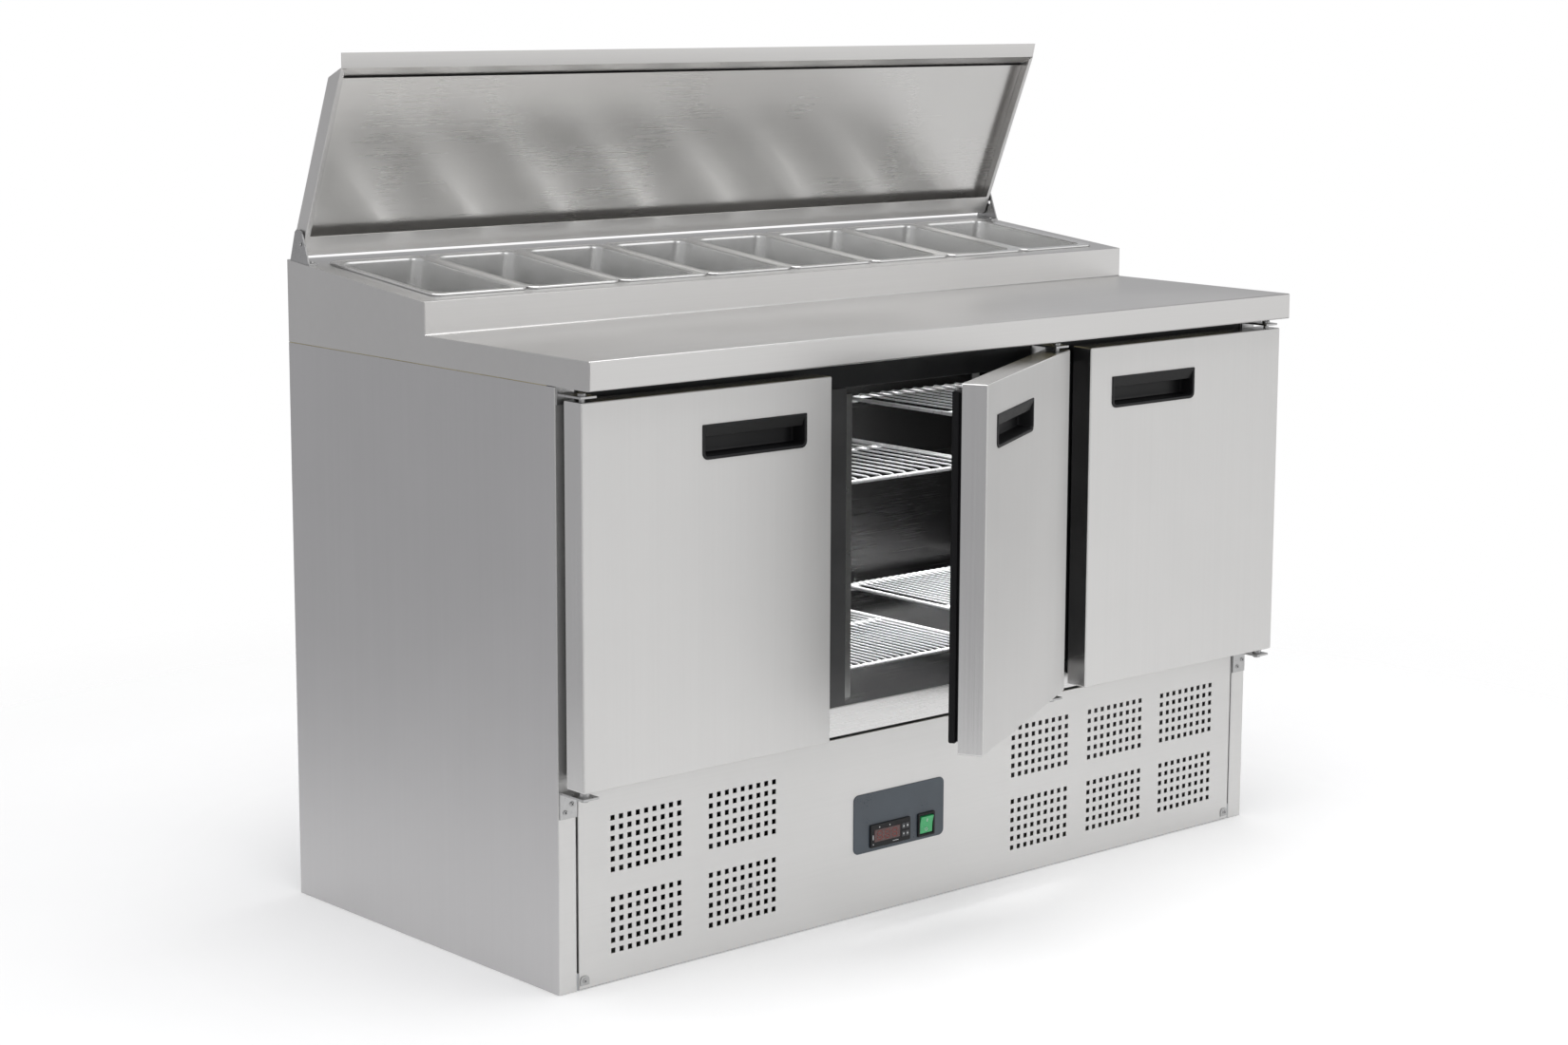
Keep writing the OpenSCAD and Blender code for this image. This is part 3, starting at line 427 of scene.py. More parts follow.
def loop(w, h, radii, segs=6):
    """Rounded rectangle about the origin; radii from the lower left, counter-clockwise."""
    out = []
    for (sx, sy, a0), r in zip(((-1, -1, 180), (1, -1, 270), (1, 1, 0), (-1, 1, 90)), radii):
        for k in range(segs + 1):
            a = rad(a0 + 90 * k / segs)
            out.append((sx * (w / 2 - r) + r * math.cos(a), sy * (h / 2 - r) + r * math.sin(a)))
    return out


def loft(loops, place, cap_first=False, cap_last=False):
    """Joins loops of equal length; each loop is (points, height) and place gives the 3D point."""
    bm = bmesh.new()
    rings = [[bm.verts.new(place(x, y, h)) for x, y in pts] for pts, h in loops]
    n = len(rings[0])
    for a, b in zip(rings, rings[1:]):
        for k in range(n):
            bm.faces.new((a[k], a[(k + 1) % n], b[(k + 1) % n], b[k]))
    if cap_first:
        bm.faces.new(list(reversed(rings[0])))
    if cap_last:
        bm.faces.new(rings[-1])
    bmesh.ops.recalc_face_normals(bm, faces=bm.faces)
    return bm


# ---------------------------------------------------------------- cabinet sheets
for side, node in ((-1, "side_panel_left"), (1, "side_panel_right")):
    prof = [
        (HW - POST_W, Y_FRONT + 0.012), (HW - POST_W, Y_FRONT), (HW, Y_FRONT),
        (HW, Y_BACK), (HW - BACK_RETURN, Y_BACK),
    ]
    pts = [(side * x, y, z) for z in (0.0, APRON_Z - SEAM) for x, y in prof]
    quads = [(i, i + 1, i + 6, i + 5) for i in range(4)]
    bm = folded(pts, quads, SHEET, 0.0022, (side * (HW - 0.012), 0.0, 0.4), 4)
    # painted shade: the side-facing sheet takes the darker steel copy and the front-facing fold the lighter
    # panel steel
    put(node + "_piece", bm, "side", node, second=("panel", lambda c, n: n.y < -0.7))

outline = [
    (Y_EDGE, APRON_Z), (Y_EDGE, TOP_Z), (RISER_Y, TOP_Z),
    (RISER_Y, WELL_F - 0.0002), (Y_BACK, WELL_B - 0.0002), (Y_BACK, APRON_Z),
]
pts = [(x, y, z) for x in (-HW, HW) for y, z in outline]
pts += [(x, Y_EDGE + 0.014, APRON_Z) for x in (-HW, HW)]
quads = [
    (0, 1, 2, 3, 4, 5), (6, 7, 8, 9, 10, 11), (0, 1, 7, 6), (1, 2, 8, 7),
    (2, 3, 9, 8), (4, 5, 11, 10), (0, 6, 13, 12),
]
put("worktop_piece", folded(pts, quads, SHEET, 0.0026, (0, 0.06, 0.838), 4), "top", "worktop")
soften("well_frame", 0.0005, "well")
soften("pan_dividers", 0.0012, "well")
soften("machine_panel", 0.0009, "panel", 3, 0.05)
soften("back_panel", 0.0004, "galvanised", 2, 0.05)
soften("base_tray", 0.0008, "galvanised", 2, 0.02)
# painted light and shade: the header faces keep the darker frame copy and the faces between z 0.31 and 0.767
# get the lighter copy
soften("front_frame", 0.0016, "frame", 3, second=("rail", lambda c, n: 0.31 < c.z < 0.767))
# painted shade: the liner is painted near black, and its front sill face keeps a bright steel tone
soften("liner", 0.0004, "inner", 2, 0.05, second=("sill", lambda c, n: c.z < 0.3148 and c.y < -0.27))
# pilaster strips carry the darkened steel as painted shade
soften("pilasters", 0.0005, "strip")
soften("shelf_clips", 0.0008, "bracket")
soften("hinge_brackets", 0.0006, "bracket")
soften("drip_tray", 0.0007, "black")
soften("evaporator", 0.0008, "fins", 2, 0.004)
soften("fan_shroud", 0.0008, "paint", 2, 0.02)

# ---------------------------------------------------------------- doors
for name, (x0, px, turn, hx) in DOORS.items():
    T = hung(name)
    x1, z0, z1 = x0 + DOOR_W, DOOR_Z0, DOOR_Z1
    xs = [x0, hx + 0.003, hx + HAND_W - 0.003, x1]
    zs = [z0, HAND_TOP - HAND_H + 0.003, HAND_TOP - 0.003, z1]
    pts = [(x, DOOR_Y0, z) for z in zs for x in xs]
    quads = []
    for j in range(3):
        for i in range(3):
            if (i, j) != (1, 1):
                quads.append((j * 4 + i, j * 4 + i + 1, j * 4 + i + 5, j * 4 + i + 4))
    order = [0, 1, 2, 3, 7, 11, 15, 14, 13, 12, 8, 4]
    rim = list(zip(order, order[1:] + order[:1]))
    base = len(pts)
    for i in order:
        pts.append((pts[i][0], DOOR_Y1, pts[i][2]))
    for a, b in rim:
        quads.append((a, b, base + order.index(b), base + order.index(a)))
    bm = folded(pts, quads, 0.001, 0.0024, ((x0 + x1) / 2, DOOR_Y1, (z0 + z1) / 2), 4)
    bmesh.ops.transform(bm, matrix=T, verts=bm.verts)
    ahead = T.to_3x3() @ Vector((0, -1, 0))
    put(
        f"door_{name}_skin", bm, "door", f"door_{name}_shell",
        second=("edge", lambda c, n: n.dot(ahead) < 0.5),
    )

    # gasket: foot, bellows and magnet tube, mitred at the corners
    wg, hg = DOOR_W - 2 * SEAL_IN, DOOR_Z1 - DOOR_Z0 - 2 * SEAL_IN
    prof = [
        (0, 0), (14, 0), (14, 3.2), (11.2, 4.6), (10.6, 6.4), (13.4, 8.4), (13.6, 15.6), (12.4, 17.6),
        (10.6, 18.35), (3.4, 18.35), (1.6, 17.6), (0.4, 15.6), (0.6, 8.4), (3.4, 6.4), (2.8, 4.6), (0, 3.2),
    ]
    cx, cz = (x0 + x1) / 2, (z0 + z1) / 2
    corners = [(-1, -1), (1, -1), (1, 1), (-1, 1)]
    bm = bmesh.new()
    rings = []
    for sx, sz in corners:
        ring = []
        for p, d in prof:
            at = (cx + sx * (wg / 2 - p / 1000), DOOR_Y1 + d / 1000, cz + sz * (hg / 2 - p / 1000))
            ring.append(bm.verts.new(at))
        rings.append(ring)
    for i in range(4):
        a, b = rings[i], rings[(i + 1) % 4]
        for k in range(len(prof)):
            bm.faces.new((a[k], a[(k + 1) % len(prof)], b[(k + 1) % len(prof)], b[k]))
    bmesh.ops.recalc_face_normals(bm, faces=bm.faces)
    bmesh.ops.transform(bm, matrix=T, verts=bm.verts)
    put(f"door_{name}_seal", bm, "rubber", f"door_{name}_gasket", 25)

    # inner panel: a shallow raised field inside the seal
    shape = [
        (0, 0.0, 0.012), (0.0012, 0.0018, 0.012), (0.006, 0.0042, 0.010), (0.0085, 0.0048, 0.009),
        (0.022, 0.0048, 0.012), (0.0235, 0.0042, 0.012), (0.026, 0.0022, 0.012), (0.029, 0.0022, 0.010),
    ]
    inner = [(loop(wg - 0.030 - 2 * i, hg - 0.030 - 2 * i, [r] * 4), d) for i, d, r in shape]
    bm = loft(inner, lambda x, z, d: T @ Vector((cx + x, DOOR_Y1 + 0.0002 + d, cz + z)), True, True)
    put(f"door_{name}_inner_panel", bm, "core", f"door_{name}_core", 30, replaces=False)

    # handle: rim, cup and hood
    hx0, hz0 = hx + HAND_W / 2, HAND_TOP - HAND_H / 2
    shape = [
        (0, 0.0), (0, -0.0009), (0.0003, -0.0014), (0.0010, -0.0016), (0.0034, -0.0016), (0.0042, -0.0012),
        (0.0047, 0.0), (0.0052, 0.004), (0.0060, 0.018), (0.0072, 0.0208), (0.0100, 0.0218),
    ]
    loops = []
    for i, d in shape:
        low_r = max(0.009 - i, 0.003)
        loops.append((loop(HAND_W - 2 * i, HAND_H - 2 * i, [low_r, low_r, 0.0012, 0.0012]), d))
    bm = loft(loops, lambda x, z, d: Vector((hx0 + x, DOOR_Y0 + d, hz0 + z)), False, True)
    hood = [
        (-0.0016, HAND_TOP - 0.0030), (-0.0014, HAND_TOP - 0.0040), (0.0030, HAND_TOP - 0.0165),
        (0.0040, HAND_TOP - 0.0172), (0.0062, HAND_TOP - 0.0165), (0.0062, HAND_TOP - 0.0030),
    ]
    hb = bmesh.new()
    xs = (hx + 0.0042, hx + HAND_W - 0.0042)
    ends = [[hb.verts.new((x, DOOR_Y0 + d, z)) for d, z in hood] for x in xs]
    for k in range(len(hood)):
        hb.faces.new((ends[0][k], ends[0][(k + 1) % 6], ends[1][(k + 1) % 6], ends[1][k]))
    hb.faces.new(ends[0])
    hb.faces.new(list(reversed(ends[1])))
    bmesh.ops.recalc_face_normals(hb, faces=hb.faces)
    round_edges(hb, 0.0004, 2, 40)
    for b in (bm, hb):
        bmesh.ops.transform(b, matrix=T, verts=b.verts)
    put(f"door_{name}_pull", bm, "black", f"door_{name}_handle", 30)
    put(f"door_{name}_pull_hood", hb, "hood", f"door_{name}_handle", 30, replaces=False)

# ---------------------------------------------------------------- lid
S = lambda x, s, t: lid_pt(x, s / 1000, t / 1000)
pts, quads = [], []
prof = [(-4, -10), (-4, 15), (260, 15), (286, -10), (305.2, -5.3), (26, -10)]
for x in (-LID_H, LID_H):
    pts += [S(x, s, t) for s, t in prof]
for x in (-LID_H + 0.008, LID_H - 0.008):
    pts += [S(x, 26, -10), S(x, 279, -10)]
quads = [
    (0, 1, 2, 3, 5), (6, 7, 8, 9, 11), (0, 1, 7, 6), (1, 2, 8, 7), (2, 3, 9, 8), (3, 4, 10, 9),
    (0, 5, 12, 14, 11, 6), (5, 3, 13, 12), (11, 9, 15, 14),
]
bm = folded(pts, quads, SHEET, 0.0020, S(0, 140, 0), 3)
prof = [(0.0042, 0), (0.0088, 0), (0.0088, 0.0045), (0.0042, 0.0045), (0.0042, 0)]
hub = [lathe(prof, (s * LID_H - (0.0045 if s > 0 else 0), *PIVOT), "X", 28) for s in (-1, 1)]
put("lid_hood_sheet", join([bm] + hub), "lid", "lid_shell")
xi = LID_H - 0.0016
pts = [
    S(-xi, -2.6, 8), S(xi, -2.6, 8), S(xi, 261, 8), S(-xi, 261, 8), S(-xi, -2.6, 13.4), S(xi, -2.6, 13.4),
]
bm = folded(pts, [(0, 1, 2, 3), (0, 1, 5, 4)], 0.001, 0.0015, S(0, 100, 12), 3)
# the lid liner takes the lightened steel copy as painted light
put("lid_inner_sheet", bm, "lid_in", "lid_liner")

# ---------------------------------------------------------------- pans
PAN_PITCH = 0.162
PW, PL = 0.1612, 0.265
BW, BL = 0.1372, 0.2402
for i in range(8):
    node = f"pan_{i + 1}"
    cx, cs = -4 * PAN_PITCH + PAN_PITCH * (i + 0.5), 0.027 + PL / 2
    rolled = [
        (0, -0.0030, 0.014), (0, -0.0008, 0.014), (0.0005, -0.0002, 0.0138), (0.0014, 0, 0.0132),
        (0.0030, -0.0002, 0.012), (0.0042, -0.0008, 0.011), (0.0080, -0.0008, 0.014),
    ]
    body = [
        (-0.0010, -0.0008, 0.0225), (-0.0002, -0.0011, 0.0218), (0.0003, -0.0022, 0.0212),
        (0.0005, -0.0045, 0.021), (0.0022, -0.040, 0.021), (0.0050, -0.0845, 0.021),
        (0.0062, -0.0905, 0.020), (0.0090, -0.0950, 0.018), (0.0140, -0.0980, 0.014),
        (0.0200, -0.0988, 0.010),
    ]
    loops = [(loop(PW - 2 * a, PL - 2 * a, [r] * 4, 7), h) for a, h, r in rolled]
    for a, h, r in body:
        loops.append((loop(BW - 2 * a, BL - 2 * a, [r] * 4, 7), h))
    bm = loft(loops, lambda x, y, h: slope_pt(cx + x, cs + y, 0.0035 + h), False, True)
    o = put(node + "_pressed", bm, "pan", node, 40)
    s = o.modifiers.new("s", "SOLIDIFY")
    s.thickness, s.offset = 0.0007, -1.0
    o.modifiers.move(1, 0)

# ---------------------------------------------------------------- shelves
for name in ("left", "middle", "right"):
    for level in ("low", "high"):
        node = f"shelf_{name}_{level}"
        lo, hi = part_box(node)
        r, rt, c = 0.00325, 0.0013 if level == "low" else 0.0016, 0.016
        zf = lo[2] + r - 0.0002
        zt = hi[2] - rt
        path = []
        for sx, sy, a0 in ((1, 1, 0), (-1, 1, 90), (-1, -1, 180), (1, -1, 270)):
            ccx = (hi[0] - r - c) if sx > 0 else (lo[0] + r + c)
            ccy = (hi[1] - r - c) if sy > 0 else (lo[1] + r + c)
            for k in range(7):
                a = rad(a0 + 15 * k)
                path.append((ccx + c * math.cos(a), ccy + c * math.sin(a), zf))
        parts = [tube(path, r, 12, True)]
        my = (lo[1] + hi[1]) / 2
        parts.append(tube([(lo[0] + r, my, zf), (hi[0] - r, my, zf)], r * 0.85, 10))
        n = 25 if level == "low" else 14
        for k in range(1, n):
            x = lo[0] + r + (hi[0] - lo[0] - 2 * r) * k / n
            y0, y1 = lo[1] + 0.001, hi[1] - 0.001
            ends = [(y0, zf + 0.0012), (y0 + 0.0028, zt - 0.0008), (y0 + 0.0065, zt)]
            ends += [(y1 - 0.0065, zt), (y1 - 0.0028, zt - 0.0008), (y1, zf + 0.0012)]
            parts.append(tube([(x, y, z) for y, z in ends], rt, 8))
        if node == "shelf_middle_high":
            # thin wire clip hooked over the front rod at its left end
            cx, cy, cz = lo[0], lo[1] - 0.0012, zf
            clip = [
                (-0.005, 0.002, 0.021), (0.001, 0.0, 0.0205), (0.004, -0.0005, 0.017), (0.005, -0.001, 0.008),
                (0.005, -0.001, -0.004), (0.003, 0.0, -0.009), (-0.006, 0.003, -0.022),
            ]
            parts.append(tube([(cx + a, cy + b, cz + d) for a, b, d in clip], 0.0009, 8))
        put(node + "_wires", join(parts), "wire", node, 40, normals=False)

# ---------------------------------------------------------------- controls
X, Z = -0.1605, 0.092
shape = [(0, 0.0015), (0, 0.0005), (0.0002, 0.0002), (0.0006, 0.0)]
loops = [(loop(0.177 - 2 * a, 0.087 - 2 * a, [0.009 - a] * 4, 8), d) for a, d in shape]
bm = loft(loops, lambda x, z, d: Vector((X + 0.0885 + x, PANEL_Y - 0.0015 + d, Z + 0.0435 + z)), True, True)
put("control_plate_piece", bm, "plate", "control_plate", 30)
Y0 = PANEL_Y - 0.0045
SX, SZ, SW, SH = -0.1305, 0.0975, 0.078, 0.034
wx0, wx1, wz0, wz1 = SX + 0.007, SX + 0.057, SZ + 0.008, SZ + 0.026
shape = [(0, 0.0030), (0, 0.0008), (0.0003, 0.0002), (0.0010, 0.0)]
loops = [(loop(SW - 2 * a, SH - 2 * a, [0.002] * 4), d) for a, d in shape]
bz = loft(loops, lambda x, z, d: Vector((SX + SW / 2 + x, Y0 + d, SZ + SH / 2 + z)), True, True)
lo = (SX + 0.0042, Y0 + 0.003, SZ + 0.0032)
body = block(lo, (SX + SW - 0.0042, Y0 + 0.046, SZ + SH - 0.0032), 0.001)
put("thermostat_case", join([bz, body]), "black", "thermostat", 30)
bm = block((wx0, Y0 - 0.0004, wz0), (wx1, Y0 + 0.0004, wz1), 0.0003)
put("thermostat_window", bm, "window", "thermostat", 30, replaces=False)
# three dark digits behind the window, each of seven bars
SEG = {
    "a": (0, 1, 1, 1), "b": (1, 0.5, 1, 1), "c": (1, 0, 1, 0.5), "d": (0, 0, 1, 0),
    "e": (0, 0, 0, 0.5), "f": (0, 0.5, 0, 1), "g": (0, 0.5, 1, 0.5),
}
parts = []
for k in range(3):
    gx, gz, gw, gh = wx0 + 0.006 + k * 0.0145, wz0 + 0.003, 0.0085, 0.012
    for a0, b0, a1, b1 in SEG.values():
        h = 0.00075
        p0, p1 = (gx + a0 * gw, gz + b0 * gh), (gx + a1 * gw, gz + b1 * gh)
        if a0 == a1:
            lo, hi = (p0[0] - h, p0[1] + 0.0011), (p0[0] + h, p1[1] - 0.0011)
        else:
            lo, hi = (p0[0] + 0.0011, p0[1] - h), (p1[0] - 0.0011, p0[1] + h)
        parts.append(block((lo[0], Y0 - 0.00055, lo[1]), (hi[0], Y0 - 0.0003, hi[1])))
put("thermostat_digits", join(parts), "segment", "thermostat", 30, replaces=False)


def dot(x, z, r, y=None):
    prof = [(0, -0.00012), (r, -0.00012), (r, 0.0003), (0, 0.0003)]
    return lathe(prof, (x, Y0 if y is None else y, z), "Y", 14)


def bar(x0, z0, x1, z1, y):
    return block((x0, y - 0.00012, z0), (x1, y + 0.0003, z1))


def arrow(x, z, s, up, y):
    d = s if up else -s
    bm = bmesh.new()
    f = [bm.verts.new((x + a, y - 0.00012, z + b)) for a, b in ((-s, -d * 0.7), (s, -d * 0.7), (0, d))]
    g = [bm.verts.new((v.co.x, y + 0.0003, v.co.z)) for v in f]
    bm.faces.new(f)
    bm.faces.new(list(reversed(g)))
    for k in range(3):
        bm.faces.new((f[k], f[(k + 1) % 3], g[(k + 1) % 3], g[k]))
    bmesh.ops.recalc_face_normals(bm, faces=bm.faces)
    return bm


marks = [dot(wx0 + dx, wz1 + 0.0032, 0.0009) for dx in (0.010, 0.030)]
marks.append(dot(wx0 - 0.0022, wz0 - 0.003, 0.0008))
marks.append(bar(wx0 - 0.0030, wz0 + 0.004, wx0 - 0.0018, wz0 + 0.011, Y0))
marks.append(bar(wx0 + 0.036, wz0 - 0.0040, wx0 + 0.047, wz0 - 0.0034, Y0))
put("thermostat_marks", join(marks), "mark", "thermostat", 30, replaces=False)
kx = [SX + 0.0606, SX + 0.0682]
kz = [SZ + 0.007, SZ + 0.0185]
for key, (i, j) in {"key_1": (0, 1), "key_2": (1, 1), "key_3": (0, 0), "key_4": (1, 0)}.items():
    lo = (kx[i], Y0 - 0.0008, kz[j])
    bm = block(lo, (lo[0] + 0.0062, lo[1] + 0.002, lo[2] + 0.008), 0.0007, 3)
    put(key + "_cap", bm, "key", key, 40)
    cx, cz, y = lo[0] + 0.0031, lo[2] + 0.004, lo[1]
    if key in ("key_1", "key_3"):
        sign = [arrow(cx, cz, 0.0016, key == "key_1", y)]
    elif key == "key_2":
        sign = [dot(cx, cz, 0.0014, y)]
    else:
        sign = [bar(cx - 0.0016, cz - 0.0005, cx + 0.0016, cz + 0.0005, y)]
        sign.append(bar(cx - 0.0005, cz - 0.0016, cx + 0.0005, cz + 0.0016, y))
    put(key + "_sign", join(sign), "mark", key, 30, replaces=False)

RX, RZ, RW, RH = -0.0365, 0.0965, 0.033, 0.035
shape = [
    (0.0022, 0.021), (0.0022, 0.0030), (0, 0.0030), (0, 0.0008), (0.0003, 0.0002), (0.0009, 0.0),
    (0.0028, 0.0), (0.0034, 0.0005), (0.0035, 0.0015), (0.0035, 0.0118),
]
loops = [(loop(RW - 2 * a, RH - 2 * a, [max(0.0015 - a * 0.3, 0.0004)] * 4), d) for a, d in shape]
bm = loft(loops, lambda x, z, d: Vector((RX + RW / 2 + x, Y0 + d, RZ + RH / 2 + z)), True, True)
put("rocker_bezel_piece", bm, "black", "rocker_bezel", 30)
rock = Matrix.Translation((RX + RW / 2, Y0 + 0.004, RZ + RH / 2)) @ Matrix.Rotation(rad(8), 4, "X")
w, h = 0.0248, 0.0258
prof = [(-0.0044, -h / 2)]
prof += [(-0.0044 + 0.0012 * math.sin(math.pi * k / 8), -h / 2 + h * k / 8) for k in range(1, 8)]
prof += [(-0.0044, h / 2), (0.001, h / 2), (0.0044, 0), (0.001, -h / 2)]
bm = bmesh.new()
ends = [[bm.verts.new((x, d, z)) for d, z in prof] for x in (-w / 2, w / 2)]
for k in range(len(prof)):
    j = (k + 1) % len(prof)
    bm.faces.new((ends[0][k], ends[0][j], ends[1][j], ends[1][k]))
bm.faces.new(ends[0])
bm.faces.new(list(reversed(ends[1])))
bmesh.ops.recalc_face_normals(bm, faces=bm.faces)
round_edges(bm, 0.0006, 3, 40)
pin = lathe([(0, -0.0136), (0.0015, -0.0136), (0.0015, 0.0136), (0, 0.0136)], (0, 0, 0), "X", 20)
bm = join([bm, pin])
bmesh.ops.transform(bm, matrix=rock, verts=bm.verts)
put("rocker_cap", bm, "green", "rocker_switch", 30)
around = [rad(30 * k) for k in range(12)]
path = [(0.0023 * math.cos(a), -0.00375, -0.0073 + 0.0023 * math.sin(a)) for a in around]
ring = tube(path, 0.0003, 6, True)
line = block((-0.00035, -0.00412, 0.0047), (0.00035, -0.0034, 0.0098), 0.0001, 1)
signs = join([ring, line])
bmesh.ops.transform(signs, matrix=rock, verts=signs.verts)
put("rocker_signs", signs, "mark", "rocker_switch", 30, replaces=False)


# ---------------------------------------------------------------- pins, screws and tabs
def screw(centre, axis, r, h):
    """Domed screw head and the middle of its top."""
    d = {"-Y": Vector((0, -1, 0)), "Z": Vector((0, 0, 1))}[axis]
    prof = [(0, h), (r * 0.45, h * 0.98), (r * 0.8, h * 0.75), (r, h * 0.25), (r, 0), (0, 0)]
    if axis == "-Y":
        b = lathe([(a, -z) for a, z in prof], centre, "Y", 20)
    else:
        b = lathe(prof, centre, "Z", 20)
    return b, Vector(centre) + d * h


heads, slot_shades = [], []


def add_screw(centre, axis, r, h):
    """A domed head with two crossed slots; thin black blocks paint the shade in their recesses."""
    b, tip = screw(centre, axis, r, h)
    heads.append(b)
    for a in (45, 135):
        m = Matrix.Translation(tip) @ Matrix.Rotation(rad(a), 4, "Y" if axis == "-Y" else "Z")
        if axis == "-Y":
            slot_shades.append(block((-r * 0.6, -0.00002, -r * 0.13), (r * 0.6, 0.0004, r * 0.13), 0, 2, m))
        else:
            slot_shades.append(block((-r * 0.6, -r * 0.13, -0.0004), (r * 0.6, r * 0.13, 0.00002), 0, 2, m))


low, hp = 0.273, 0.799
low_pin = [
    (0, low - 0.004), (0.0050, low - 0.004), (0.006, low - 0.003), (0.006, low - 0.0001),
    (0.004, low), (0.004, 0.30395), (0, 0.30395),
]
washer = [
    (0.0041, low + 0.0031), (0.0069, low + 0.0031), (0.0069, 0.2836), (0.0041, 0.2836),
    (0.0041, low + 0.0031),
]
high_pin = [
    (0, 0.77505), (0.004, 0.77505), (0.004, hp + 0.003), (0.006, hp + 0.0031), (0.006, hp + 0.006),
    (0.005, hp + 0.0069), (0, hp + 0.0069),
]
lid_pin = [(0, 0), (0.004, 0), (0.004, 0.0098), (0.0034, 0.0102), (0, 0.0102)]
for px in (-0.6675, 0.19925, 0.6675):
    heads.append(lathe(low_pin, (px, PIV_Y, 0), "Z", 24))
    heads.append(lathe(washer, (px, PIV_Y, 0), "Z", 24))
    heads.append(lathe(high_pin, (px, PIV_Y, 0), "Z", 24))
for s in (-1, 1):
    prof = [(r, -s * h) for r, h in lid_pin]
    heads.append(lathe(prof, (s * (HW - 0.0015), *PIVOT), "X", 24))
    tab = block((0, 0, 0), (0.015, 0.0015, 0.013), 0.0)
    for v in tab.verts:
        v.co.x = s * (HW - POST_W - 0.004) - s * v.co.x
        v.co.y += PANEL_Y - 0.0015
        v.co.z += 0.006
    bmesh.ops.recalc_face_normals(tab, faces=tab.faces)
    up = []
    for e in tab.edges:
        p, q = (v.co for v in e.verts)
        if abs(p.x - q.x) < 1e-6 and abs(p.z - q.z) < 1e-6 and p.z > 0.012:
            up.append(e)
    bmesh.ops.bevel(tab, geom=up, offset=0.006, segments=6, profile=0.5, affect="EDGES")
    round_edges(tab, 0.0003, 2, 60)
    heads.append(tab)
    add_screw((s * (HW - POST_W - 0.011), PANEL_Y - 0.0015, 0.012), "-Y", 0.003, 0.0018)
    sp = slope_pt(s * (HW - 0.012), 0.292, 0.0025)
    add_screw(sp, "Z", 0.003, 0.0016)
for px in (-0.6675, 0.6675):
    for dx, dz in ((-0.005, 0.012), (0.006, 0.022)):
        add_screw((px + dx, Y_FRONT - 0.0025, low - 0.037 + dz), "-Y", 0.0036, 0.0018)
for dx in (-0.007, 0.006):
    add_screw((0.19925 + dx, Y_FRONT - 0.0025, low + 0.010), "-Y", 0.0036, 0.0018)
put("pins_and_screw_heads", join(heads), "bracket", "pins_and_screws", 35)
# painted shade: black blocks on each head stand for the shaded cross recess
put("screw_slot_shades", join(slot_shades), "black", "pins_and_screws", 30, replaces=False)

# ---------------------------------------------------------------- machine space
C = (0.400, 0.110)
prof = [
    (0, 0.015), (0.058, 0.015), (0.066, 0.021), (0.0745, 0.034), (0.078, 0.048), (0.078, 0.090),
    (0.078, 0.092), (0.078, 0.100), (0.078, 0.146), (0.0765, 0.158), (0.071, 0.170), (0.060, 0.180),
    (0.045, 0.1855), (0.020, 0.1895), (0, 0.190),
]
can = lathe(prof, (*C, 0), "Z", 56)
parts = [can, block((C[0] - 0.1, C[1] - 0.06, 0.012), (C[0] + 0.1, C[1] + 0.06, 0.015), 0.0008)]
foot = [
    (0, 0.0021), (0.0108, 0.0021), (0.0108, 0.0045), (0.0088, 0.0055), (0.0088, 0.0085),
    (0.0108, 0.0095), (0.0108, 0.0119), (0, 0.0119),
]
parts.append(block((C[0] + 0.052, C[1] - 0.024, 0.075), (C[0] + 0.099, C[1] + 0.024, 0.130), 0.004, 3))
for dx in (-0.088, 0.088):
    for dy in (-0.048, 0.048):
        parts.append(lathe(foot, (C[0] + dx, C[1] + dy, 0), "Z", 24))
put("compressor_can", join(parts), "paint", "compressor", 35)


def rotor(node, centre, r, hub, depth, count):
    """Fan with cambered, swept blades."""
    prof = [
        (0, -depth / 2), (hub * 0.8, -depth / 2), (hub, -depth / 2 + 0.004), (hub, depth / 2 - 0.001),
        (hub * 0.95, depth / 2), (0, depth / 2),
    ]
    parts = [lathe(prof, centre, "Y", 32)]
    for b in range(count):
        a0 = 2 * math.pi * b / count
        bm = bmesh.new()
        grid = []
        for i in range(7):
            reach = hub * 0.9 + (r - hub * 0.9) * i / 6
            width = rad(46) * (0.75 + 0.35 * i / 6)
            row = []
            for j in range(7):
                u = j / 6 - 0.5
                a = a0 + width * u + 0.16 * (i / 6) ** 2
                y = depth * 0.46 * (-2 * u) * (1 - 0.25 * i / 6) + 0.10 * depth * (1 - 4 * u * u)
                y = max(-depth / 2 + 0.0005, min(depth / 2 - 0.0005, y))
                at = (centre[0] + reach * math.cos(a), centre[1] + y, centre[2] + reach * math.sin(a))
                row.append(bm.verts.new(at))
            grid.append(row)
        for i in range(6):
            for j in range(6):
                bm.faces.new((grid[i][j], grid[i][j + 1], grid[i + 1][j + 1], grid[i + 1][j]))
        bmesh.ops.solidify(bm, geom=bm.faces[:], thickness=0.0012)
        parts.append(bm)
    put(node + "_rotor", join(parts), "fan", node, 40)


rotor("condenser_fan", (-0.260, -0.120, 0.138), 0.0915, 0.024, 0.0255, 5)
rotor("evaporator_fan", (0.400, 0.190, 0.748), 0.0345, 0.012, 0.0175, 5)


def bend(points, r, n=5):
    """Points of a path with its corners rounded."""
    out = [Vector(points[0])]
    for a, b, c in zip(points, points[1:], points[2:]):
        a, b, c = Vector(a), Vector(b), Vector(c)
        p, q = b + (a - b).normalized() * r, b + (c - b).normalized() * r
        for k in range(n + 1):
            u = k / n
            out.append(p * (1 - u) ** 2 + b * 2 * u * (1 - u) + q * u ** 2)
    return out + [Vector(points[-1])]


